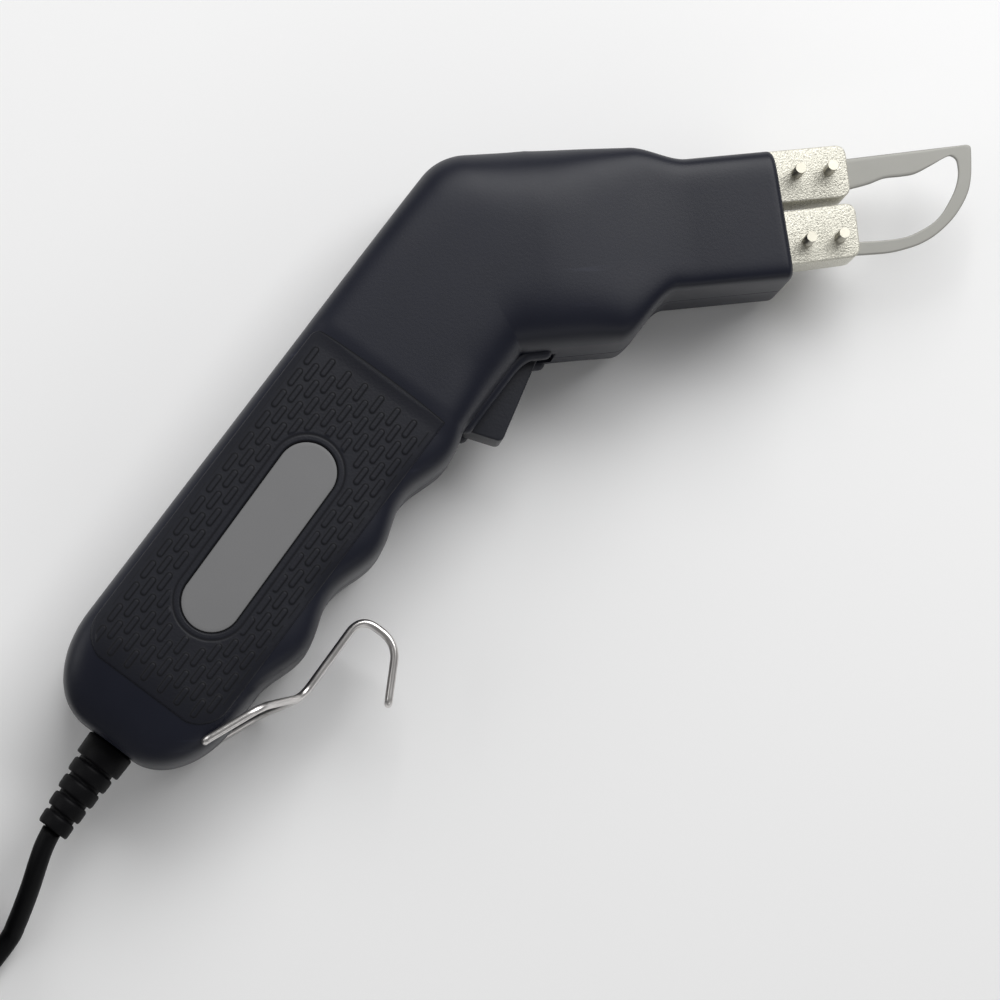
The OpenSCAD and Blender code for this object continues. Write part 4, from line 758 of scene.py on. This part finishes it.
def pad_grid(holes):
    """Pad face over (a, b) in the unit square: n runs between its two edges, s from a slightly bowed seam to
    the round tail end. z stands over the casing's section, dashes stand higher, a bezel rings the plate, and
    the outermost ring of points drops into the casing. Points inside a screw hole move out to its edge. Also
    gives painted shade for the gaps, the bezel ring, the plate's recess and the dash outlines, and the points
    that were inside a hole."""
    a, b = np.meshgrid(np.linspace(0, 1, PAD_ROWS), np.linspace(0, 1, PAD_COLS), indexing="ij")
    s = mix(PAD_START, PAD_END, a)
    bite, corner = quarter(PAD_R, PAD_END - s), quarter(SEAM_CORNER, s - PAD_START)
    n = mix(-PAD_BACK + bite + corner, PAD_FRONT - bite, b)
    t = (n + PAD_BACK) / (PAD_BACK + PAD_FRONT)
    bow = PAD_SLANT * t + PAD_BOW * (1 - (2 * t - 1) ** 2)
    s = s - (1 - a) * bow
    open_at, round_over = np.zeros(s.shape, bool), np.zeros(s.shape)
    for hole in holes:
        hs, hn = hole @ ALONG, hole @ ACROSS
        gone = np.hypot(s - hs, n - hn)
        open_at |= gone < BORE_R
        push = np.maximum(1, BORE_R / np.maximum(gone, 1e-6))
        s, n = hs + (s - hs) * push, hn + (n - hn) * push
        near = gone < BORE_R + PAD_LIFT
        round_over = round_over + near * quarter(PAD_LIFT, np.maximum(gone - BORE_R, 0))
    seam = s - PAD_START + bow
    sides = np.minimum(n + PAD_BACK - bite - corner, PAD_FRONT - bite - n)
    edge = np.minimum(sides, np.minimum(seam, PAD_END - s))
    back, under, half = handle_rows(s)
    u = np.clip(np.abs(2 * n - back - under) / (under - back), 0, 0.999)
    section = half * (1 - u ** HANDLE_POWER) ** (1 / HANDLE_POWER)
    rim = to_plate(s, n)
    ring = line_at(rim, BEZEL, BEZEL_W)
    z = section + PAD_LIFT - quarter(PAD_EDGE, edge) - round_over
    z = z - PLATE_SINK * (1 - past(rim, SINK_SPAN)) - BEZEL_DEPTH * ring
    dash, whole = to_dash(s, n)
    keep = past(edge, EDGE_SPAN) * past(rim, RIM_SPAN) * whole
    z = np.minimum(z + DASH_HIGH * keep * (1 - past(dash, DASH_SPAN)), HALF - PAD_TOP_GAP)
    # Painted shade: dark outlines round the raised dashes, in the bezel ring, in the plate's recess and along
    # the seam
    dark = np.stack([DASH_SHADE * keep * line_at(dash, DASH_LINE, DASH_LINE_W), BEZEL_SHADE * ring,
                     1 - past(rim, SINK_SHADE_SPAN), SEAM_SHADE * (1 - past(seam, SEAM_SHADE_SPAN))]).max(0)
    face = np.concatenate([on_handle(s, n), z[..., None]], -1)
    face = np.pad(face, ((1, 1), (1, 1), (0, 0)), mode="edge")
    border = np.pad(np.zeros(s.shape), 1, constant_values=1.0)
    face = face - border[..., None] * np.array([0, 0, PAD_SKIRT])
    # The skirt that drops into the casing is painted in full shade
    return face, np.maximum(np.pad(dark, 1, mode="edge"), border), np.pad(open_at, 1)


def plate_grid():
    """Plate face: points at a share of the half width from a middle line, round its two ends, with a small
    round at the edge and a drop at the outermost ring."""
    t = (np.arange(PLATE_SIDES) + 0.5) * 2 * np.pi / PLATE_SIDES
    bend = np.linspace(0, np.pi / 2, 5)
    flat = np.linspace(PLATE_MIDDLE_SHARE, 1 - PLATE_EDGE_SHARE, PLATE_RINGS + 1)[:-1]
    k = np.concatenate([flat, 1 - PLATE_EDGE_SHARE * (1 - np.sin(bend)), [1.0]])
    z = GRIP_HALF - np.concatenate([0 * flat, PLATE_ROUND * (1 - np.cos(bend)), [PLATE_DROP]])
    a = np.sign(np.cos(t)) * PLATE_RUN + np.outer(k, np.cos(t)) * PLATE_W / 2
    b = np.outer(k, np.sin(t)) * PLATE_W / 2
    s = PLATE_S + a * math.cos(PLATE_TILT) - b * math.sin(PLATE_TILT)
    n = PLATE_N + a * math.sin(PLATE_TILT) + b * math.cos(PLATE_TILT)
    return np.concatenate([on_handle(s, n), np.broadcast_to(z[:, None, None], (*s.shape, 1))], -1)


plate = plate_grid()
for side, name, holes in ((1, "left", ()), (-1, "right", [np.array(place[:2]) for place in CASE_SCREWS[3:]])):
    flip = np.array([1, 1, side])
    pad, dark, open_at = pad_grid(holes)
    faces = grid_faces(*pad.shape[:2])
    faces = faces[~open_at.ravel()[faces].all(1)]
    # dark: painted shade of the pad's gaps, bezel ring, plate recess and dash outlines
    add_piece(name + "_pad", pad * flip, faces[:, ::side], GRIP, "pad", replaces=(name + "_grip_pad",),
              shade_marks=dark)
    caps = [cap[::-side] for cap in end_caps(plate)]
    add_piece(name + "_bare_plate", plate * flip, ring_faces(plate)[:, ::-side], PLATE, "plate",
              replaces=(name + "_plate",), caps=caps)


# Trigger

# Trigger: its pin and boss, its key from the pin, its flange and the bar that presses the switch
PIN_S, PIN_N, BOSS_R = 12.51, 23.97, 4.3
KEY_HALF, KEY_ROUND, KEY_HEEL, KEY_REAR, KEY_REAR_N, KEY_TIP_N = 6.4, 0.5, 29.33, 30.17, 0.21, 9.7
FLANGE_N, FLANGE_T, FLANGE_HALF, KEY_REACH = 18.35, 1.2, 9.0, 26.8
PRESSER_S, PRESSER_R, PRESSER_HALF, SMALL_ROUND = PIN_S + 19.5, 1.5, 4.0, 0.2
SPRING_LOW, SPRING_FROM, SPRING_TO, SPRING_TURNS = 12.35, 0.27, 3.93, 3.5
SPRING_WIRE, SPRING_WIDE, SPRING_NARROW = 0.25, 2.72, 2.4


def trigger_outline():
    """Trigger in handle axes, anticlockwise: a round boss about the pin, a straight finger face and rounded
    corners."""
    a = np.radians(np.linspace(60, 270, 24))
    boss = np.stack([PIN_S + BOSS_R * np.cos(a), PIN_N + BOSS_R * np.sin(a)], 1)
    corners = [(PIN_S + BOSS_R, FLANGE_N), (PIN_S + KEY_HEEL, FLANGE_N),
               (PIN_S + KEY_REAR, PIN_N + KEY_REAR_N), (PIN_S + KEY_REACH, PIN_N + KEY_TIP_N), boss[0]]
    return np.concatenate([boss, filleted(corners, (0, 0.4, 1.0, 1.6, 0), 6, closed=False)[:-1]])


def spring_line():
    """Return spring: a helix about the plunger that narrows towards the trigger, so its turns nest as it
    shortens."""
    t = np.linspace(0, 1, 113)
    a, r = 2 * SPRING_TURNS * np.pi * t, mix(SPRING_WIDE, SPRING_NARROW, t)
    rise = SPRING_LOW + mix(SPRING_FROM, SPRING_TO, t)
    return np.stack([PRESSER_S + r * np.cos(a), rise, r * np.sin(a)], 1)


a = np.radians(np.arange(0, 360, 15))
presser = np.stack([PRESSER_S + PRESSER_R * np.cos(a), FLANGE_N + PRESSER_R * np.sin(a)], 1)
flange_from, flange_to, flange_n = PIN_S + 2 * BOSS_R, PIN_S + KEY_REACH, FLANGE_N + FLANGE_T
flange = np.array([(flange_from, FLANGE_N), (flange_to, FLANGE_N), (flange_to, flange_n),
                   (flange_from, flange_n)])
points, faces, caps = joined([prism(trigger_outline(), KEY_HALF, KEY_ROUND),
                              prism(flange, FLANGE_HALF, SMALL_ROUND),
                              prism(presser, PRESSER_HALF, SMALL_ROUND)])
add_piece("trigger_key", handle_place(points), faces, KEY, "trigger", body="trigger", replaces=("trigger",),
          caps=caps)

spring = add_wire("return_spring", handle_place(spring_line()), SPRING_WIRE, 8, STEEL, "steel",
                  replaces=("trigger_spring",))
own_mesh(spring)


# Electrode blocks, blade and screws

BLOCK_FRONT, BLOCK_HALF, BLOCK_IN, BLOCK_EDGE, BLOCK_BENDS = 98.3, 6.25, 2.4, 0.55, (0.3, 3.2, 3.2, 0.3)
BLADE_SCREWS = ((84.4, 12.1), (93.1, 12.1), (85.1, -6.5), (93.9, -6.3))
# Blade: the size of its loop and its lower corner at the blocks, then its grid
BLADE_SIZE, BLADE_LOW = np.array([35.4, 27.4]), np.array([BLOCK_FRONT, -10.7])
BLADE_HALF, BLADE_ROWS, BLADE_STEP, BLADE_FINE, BEVEL_SHARE = 0.5, 240, 0.6, 0.25, 0.04
# The blade's two tangs inside the blocks: their end, and each one's outer and inner height
TANG_X, UPPER_TANG, LOWER_TANG = 81, (15.7, 7.4), (-10.5, -6.8)
OUTER_SHARES = [(0, 0.968), (0.97, 1), (0.992, 0.985), (1, 0.94), (0.972, 0.668), (0.917, 0.482),
                (0.806, 0.296), (0.669, 0.153), (0.542, 0.07), (0.414, 0.026), (0.25, 0), (0, 0.007)]
INNER_SHARES = [(0, 0.142), (0.24, 0.13), (0.4, 0.14), (0.5, 0.175), (0.617, 0.241), (0.7, 0.32),
                (0.756, 0.405), (0.833, 0.555), (0.875, 0.7), (0.878, 0.84), (0.845, 0.895), (0.8, 0.896),
                (0.675, 0.825), (0.547, 0.759), (0.44, 0.745), (0.3, 0.741), (0.175, 0.697), (0, 0.66)]
# Screws: thread, head and cross
THREAD_DEPTH, THREAD_SIDES, THREAD_ROWS, END_LEN, END_SLOPE = 0.22, 24, 8, 0.3, 0.35
HEAD_SIDES, HEAD_ROUND_SHARE = 48, 0.45
CROSS_SPAN, CROSS_FADE, CROSS_SHARE, CROSS_DEPTH_SHARE = (0.25, 0.2), 0.3, 0.5, 0.45

# Each block: the middle and half of its height, its front, and its slope along x
for name, y, half, reach, tilt in (("upper_electrode", 11.6, 7.1, BLOCK_FRONT, 0.0),
                                   ("lower_electrode", -5.2, 7.35, BLOCK_FRONT + 0.7, 0.035)):
    root = NOSE - BLOCK_IN
    outline = filleted([(root, y - half), (reach, y - half), (reach, y + half), (root, y + half)],
                       BLOCK_BENDS, 10)
    outline[:, 1] += (outline[:, 0] - NOSE) * tilt
    add_rings(name + "_block", prism(outline, BLOCK_HALF, BLOCK_EDGE), CASTING, "casting", replaces=(name,))


def blade_edges():
    """Blade as two edges: the outer and the inner line of the loop, each a smooth curve sampled at equal
    shares of its length."""
    upper, lower = ([(TANG_X, y) for y in tang] for tang in (UPPER_TANG, LOWER_TANG))
    outer = np.array(OUTER_SHARES) * BLADE_SIZE + BLADE_LOW
    inner = (np.array(INNER_SHARES) * BLADE_SIZE + BLADE_LOW)[::-1]
    outer = np.concatenate([upper[:1], smooth_line(outer[:2], 1), smooth_line(outer[1:], BLADE_STEP)[1:],
                            lower[:1]])
    inner = np.concatenate([upper[1:], smooth_line(inner, BLADE_STEP), lower[1:]])
    at = np.linspace(0, 1, BLADE_ROWS)
    edges = (even_line(outer, BLADE_FINE), even_line(inner, BLADE_FINE))
    return [np.stack([np.interp(at, np.linspace(0, 1, len(e)), e[:, k]) for k in (0, 1)], 1) for e in edges]


def blade_grid():
    """Blade: straight rows across the band from edge to edge, over the upper face and back under the lower
    one, thinning as a quarter ellipse in the last share at each edge."""
    outer, inner = blade_edges()
    far = 1 - BEVEL_SHARE
    t = np.concatenate([np.linspace(0, BEVEL_SHARE, 4), np.linspace(BEVEL_SHARE, far, 10)[1:-1],
                        np.linspace(far, 1, 4)])
    bevel = np.clip((np.abs(t - 0.5) - (0.5 - BEVEL_SHARE)) / BEVEL_SHARE, 0, 1)
    z = BLADE_HALF * np.sqrt(np.clip(1 - bevel ** 2, 0.2, 1))
    face = outer[:, None] + (inner - outer)[:, None] * t[None, :, None]
    upper = np.concatenate([face, np.broadcast_to(z[None, :, None], (*face.shape[:2], 1))], -1)
    return np.concatenate([upper, upper[:, ::-1] * np.array([1, 1, -1])], 1)


def thread_rows(r, length):
    """Screw thread: radius r less depth times a triangle wave of (height / pitch - angle / turn), fading to a
    plain chamfered end. The pitch is a third of the radius."""
    pitch = r / 3
    h = np.linspace(0, length, int(length / pitch * THREAD_ROWS))[:, None]
    a = np.linspace(0, 2 * np.pi, THREAD_SIDES, endpoint=False)
    phase = (h / pitch - a / (2 * np.pi)) % 1
    radius = r - THREAD_DEPTH * np.abs(2 * phase - 1) * np.clip((length - h) / pitch, 0, 1)
    radius = radius - END_SLOPE * np.clip(h - (length - END_LEN), 0, END_LEN)
    return np.stack([radius * np.cos(a), radius * np.sin(a), np.broadcast_to(h, radius.shape)], -1)


def pan_head(r, height):
    """Pan head: a flat disc with a quarter round edge, and a cross sunk in it where the nearer of two axes is
    close."""
    a = np.linspace(0, np.pi / 2, 6)
    edge = height * HEAD_ROUND_SHARE
    flat = np.stack([np.linspace(POLE, r - edge, 14)[:-1], np.full(13, height)], 1)
    rounding = np.stack([r - edge + edge * np.sin(a), height - edge + edge * np.cos(a)], 1)
    grid = turned(np.concatenate([flat, rounding, [(r, 0), (POLE, 0)]])[::-1], HEAD_SIDES)
    x, y = np.abs(grid[..., 0]), np.abs(grid[..., 1])
    reach = past(np.hypot(x, y), (CROSS_SHARE * r, CROSS_FADE))
    cross = (1 - past(np.minimum(x, y), CROSS_SPAN)) * (1 - reach)
    grid[..., 2] -= CROSS_DEPTH_SHARE * height * cross * (grid[..., 2] > 0.9 * height)
    return grid


def add_screws(name, places, r, length, head_r, head_h, seat, replaces):
    """Screws at several places: thread along +Z from the seat and a head below it."""
    thread, head = thread_rows(r, length), pan_head(head_r, head_h) * np.array([1, -1, -1])
    grids = [part + np.array([x, y, seat]) for x, y in places for part in (thread, head)]
    points, faces, caps = joined(grids)
    screws = add_piece(name, points, faces, ZINC, "zinc", replaces=(replaces,), caps=caps)
    screws.data.set_sharp_from_angle(angle=CRISP)


add_rings("loop_blade", blade_grid(), SHEET, "blade", replaces=("blade",))
add_screws("blade_screw_set", BLADE_SCREWS, 1.5, 19.5, 2.75, 2.0, -BLOCK_HALF, "blade_screws")
case_places = [place[:2] for place in CASE_SCREWS]
add_screws("case_screw_set", case_places, 1.45, 20.5, 2.8, 2.2, -BORE_SEAT, "case_screws")


# Wire stand

# Place of its pivot on the handle, its wire, the heights of its legs, and the reach of each bend
STAND_S, STAND_N, WIRE_R, WIRE_RING, WIRE_SIDES = 148.5, 19.0, 1.05, 0.45, 16
PIVOT_Z, LEG_Z, TIP_Z, LEG_BENDS = 12.5, 20.65, 1.2, (0, 2.2, 4, 4, 5.5, 4.8, 0)


def stand_line():
    """Wire stand in handle axes: one leg from its pivot end to the hook's tip with rounded bends, half a
    circle round the tip, and the same leg mirrored in the parting plane."""
    leg = np.array([(0, 0, PIVOT_Z), (0, 0, LEG_Z), (-15.5, 6.4, LEG_Z), (-24.58, 12.79, TIP_Z),
                    (-51, 12.39, TIP_Z), (-50.9, 24.1, TIP_Z), (-37.9, 31.3, TIP_Z)])
    leg = leg + np.array([STAND_S, STAND_N, 0])
    a = np.linspace(0, np.pi, 11)[1:-1, None]
    middle, ahead = leg[-1] * np.array([1, 1, 0]), unit(leg[-1] - leg[-2])
    tip = middle + TIP_Z * (np.sin(a) * ahead + np.cos(a) * np.array([0, 0, 1]))
    leg = filleted(leg, LEG_BENDS, 12, closed=False)
    return np.concatenate([leg, tip, leg[::-1] * np.array([1, 1, -1])])


path = handle_place(even_line(stand_line(), WIRE_RING))
add_wire("stand_wire_form", path, WIRE_R, WIRE_SIDES, WIRE, "wire", body="stand", replaces=("wire_stand",))


# Strain relief, plug and tie

# Strain relief: the foot inside the casing, the collar outside it, and the ribs
RELIEF_BORE, RELIEF_FOOT, FOOT_R, FOOT_TOP, THROAT_R, RELIEF_SIDES = 2.65, 155.6, 8.5, 158.1, 6, 40
COLLAR_R, COLLAR_TAPER, COLLAR_DROP, COLLAR_ROUND, COLLAR_SHARE = 6.65, 0.15, 0.35, 0.4, 0.237
RIB_RADII, RIB_DEPTH, RIB_GAP_SHARE = (5.85, 5.4, 4.95, 4.5), 0.85, 0.22
# Round of a rib at its two ends: below its radius, and from its end
RIB_RISE, RIB_FALL = ((0.35, 0), (0.05, 0.4), (0, 0.9)), ((0.05, 0.9), (0.15, 0.4), (0.4, 0))
# Plug: its body, the grooves of its neck, and its two pins
PLUG_LEN, PLUG_NECK_R, PLUG_HALF_W, PLUG_HALF_T, PLUG_SIDES = 34, 4.5, 12.5, 7.0, 64
PLUG_POWERS, PLUG_SPAN = (2.0, 4.5), (9, 13)
GROOVE_PITCH, GROOVE_SHARE, GROOVE_FROM, GROOVE_TO = 2.4, 0.12, 1.5, 9
PRONG_APART, PRONG_R, PRONG_RUN, PRONG_ROOT_R, PRONG_IN, PRONG_SIDES = 9.3, 2.0, 17, 1.45, 5.7, 32
# Tie: its place on the coil, the loop that it makes, and the band
TIE_TURN, TIE_SPAN, TIE_LOW, TIE_HIGH = math.radians(60), 7.615, 0.35, 24.25
TIE_HALF, TIE_T, TIE_CORNER = 4, 0.33, 3.0


def relief_profile():
    """Strain relief: flange, neck, collar and round ribs that taper from collar to tip, and back along the
    bore."""
    collar = RELIEF_ROOT + COLLAR_SHARE * RELIEF_LEN
    tip_r = COLLAR_R - COLLAR_TAPER
    rows = [(RELIEF_BORE, RELIEF_FOOT), (FOOT_R, RELIEF_FOOT), (FOOT_R, FOOT_TOP), (THROAT_R, FOOT_TOP),
            (THROAT_R, RELIEF_ROOT), (COLLAR_R - COLLAR_DROP, RELIEF_ROOT),
            (COLLAR_R, RELIEF_ROOT + COLLAR_ROUND), (tip_r, collar - COLLAR_ROUND),
            (tip_r - 2 * COLLAR_TAPER, collar)]
    pitch = (RELIEF_END - collar) / len(RIB_RADII)
    for i, r in enumerate(RIB_RADII):
        low, high = collar + (i + RIB_GAP_SHARE) * pitch, collar + (i + 1) * pitch
        rows += [(r - RIB_DEPTH, collar + i * pitch + 0.05), (r - RIB_DEPTH, low - 0.1)]
        rows += [(r - drop, low + run) for drop, run in RIB_RISE]
        rows += [(r - drop, high - run) for drop, run in RIB_FALL]
    return rows + [(RELIEF_BORE, s) for s in np.linspace(RELIEF_END, RELIEF_FOOT, 14)]


def plug_grid():
    """Plug: sections |x/a|^p + |z/b|^p = 1 that grow from the cord's neck to the flat pin face, with grooves
    round the neck."""
    h = np.concatenate([[0, 0, 0.4], np.linspace(1, 11, 12), np.linspace(12, 20, 10),
                        np.linspace(21, 33.2, 8), [33.6, PLUG_LEN, PLUG_LEN]])
    k = np.concatenate([[0.5, 0.93, 1], np.ones(30), [0.985, 0.95, 0.02]])
    t = past(h, PLUG_SPAN)
    shade_mask = (np.sin(h * 2 * np.pi / GROOVE_PITCH) > 0.2) & (h > GROOVE_FROM) & (h < GROOVE_TO)
    k = k * (1 - GROOVE_SHARE * shade_mask)
    a, b, p = mix(PLUG_NECK_R, PLUG_HALF_W, t) * k, mix(PLUG_NECK_R, PLUG_HALF_T, t) * k, mix(*PLUG_POWERS, t)
    w = np.linspace(0, 2 * np.pi, PLUG_SIDES, endpoint=False)[::-1]
    c, s = np.cos(w), np.sin(w)
    e = 2 / p[:, None]
    x, z = a[:, None] * np.sign(c) * np.abs(c) ** e, b[:, None] * np.sign(s) * np.abs(s) ** e
    return np.stack([x, np.broadcast_to(h[:, None], x.shape), z], -1) + PLUG


def prong_grid(side):
    """Plug pin: turned rod with a ball end, standing on the plug's face to one side."""
    a = np.linspace(0, np.pi / 2, 7)
    ball = np.stack([PRONG_R * np.cos(a) + POLE, PRONG_RUN + PRONG_R * np.sin(a)], 1)
    root = [(PRONG_ROOT_R, -PRONG_IN), (PRONG_ROOT_R, 0), (PRONG_R, 0)]
    pin = turned(np.concatenate([root, ball]), PRONG_SIDES)
    return np.stack([pin[..., 0] + side * PRONG_APART, pin[..., 2] + PLUG_LEN, -pin[..., 1]], -1) + PLUG


def tie_grid():
    """Tie: a rounded rectangle of band round the bundle of cord, closed on itself."""
    line = filleted([(-TIE_SPAN, TIE_LOW), (TIE_SPAN, TIE_LOW), (TIE_SPAN, TIE_HIGH), (-TIE_SPAN, TIE_HIGH)],
                    TIE_CORNER, 10)
    outside, within = inset(line, -TIE_T), inset(line, TIE_T)
    loop = [(outside, -TIE_HALF), (outside, TIE_HALF), (within, TIE_HALF), (within, -TIE_HALF)]
    rows = np.stack([np.stack([p[:, 0], np.full(len(p), y), p[:, 1]], 1) for p, y in loop], 1)
    x, y = COIL_R + rows[..., 0], rows[..., 1]
    cos, sin = math.cos(TIE_TURN), math.sin(TIE_TURN)
    grid = np.stack([COIL_X + x * cos - y * sin, COIL_Y + x * sin + y * cos, rows[..., 2] - HALF], -1)
    return np.concatenate([grid, grid[:1]])


grid = turned(relief_profile(), RELIEF_SIDES)
s = grid[..., 2]
grid = handle_place(np.stack([s, grid[..., 0] + relief_axis(s), grid[..., 1]], -1))
relief = add_piece("ribbed_relief", grid, ring_faces(grid), CORD, "rubber", replaces=("strain_relief",))
plug = add_rings("moulded_plug", plug_grid(), CORD, "plug", replaces=("plug_body",))
points, faces, caps = joined([prong_grid(-1), prong_grid(1)])
pins = add_piece("plug_pin_pair", points, faces, BRASS, "brass", replaces=("plug_pins",), caps=caps)
grid = tie_grid()
tie = add_piece("cord_tie_band", grid, ring_faces(grid), CORD, "tie", replaces=("cord_tie",), smooth=False)


# Floor and light

floor_mesh = bpy.data.meshes.new("floor")
floor_mesh.from_pydata([(-3, -3, 0), (3, -3, 0), (3, 3, 0), (-3, 3, 0)], [], [(0, 1, 2, 3)])
floor = bpy.data.objects.new("floor", floor_mesh)
bpy.context.collection.objects.link(floor)
pale, tree, shader = start_material("pale_floor")
shader.inputs["Base Color"].default_value = (0.93, 0.93, 0.93, 1)
shader.inputs["Roughness"].default_value = 0.9
floor_mesh.materials.append(pale)


def softbox(name, place, size, power):
    """A rectangular lamp that faces the middle of the part."""
    lamp = bpy.data.lights.new(name, "AREA")
    lamp.shape = "RECTANGLE"
    lamp.size, lamp.size_y = size
    lamp.energy = power
    made = bpy.data.objects.new(name, lamp)
    made.location = place
    made.rotation_euler = (-Vector(place)).to_track_quat("-Z", "Y").to_euler()
    bpy.context.collection.objects.link(made)


softbox("key_box", (0.42, 0.66, 0.95), (1.1, 0.8), 14)
softbox("fill_box", (-1.1, 0.3, 0.6), (1.0, 0.8), 3.5)
softbox("front_box", (0.2, -1.1, 0.6), (1.2, 0.5), 1.5)
world = bpy.data.worlds.new("studio")
bpy.context.scene.world = world
world.use_nodes = True
world.node_tree.nodes["Background"].inputs["Color"].default_value = (1, 1, 1, 1)
world.node_tree.nodes["Background"].inputs["Strength"].default_value = 0.2
bpy.context.scene.view_settings.view_transform = "Standard"
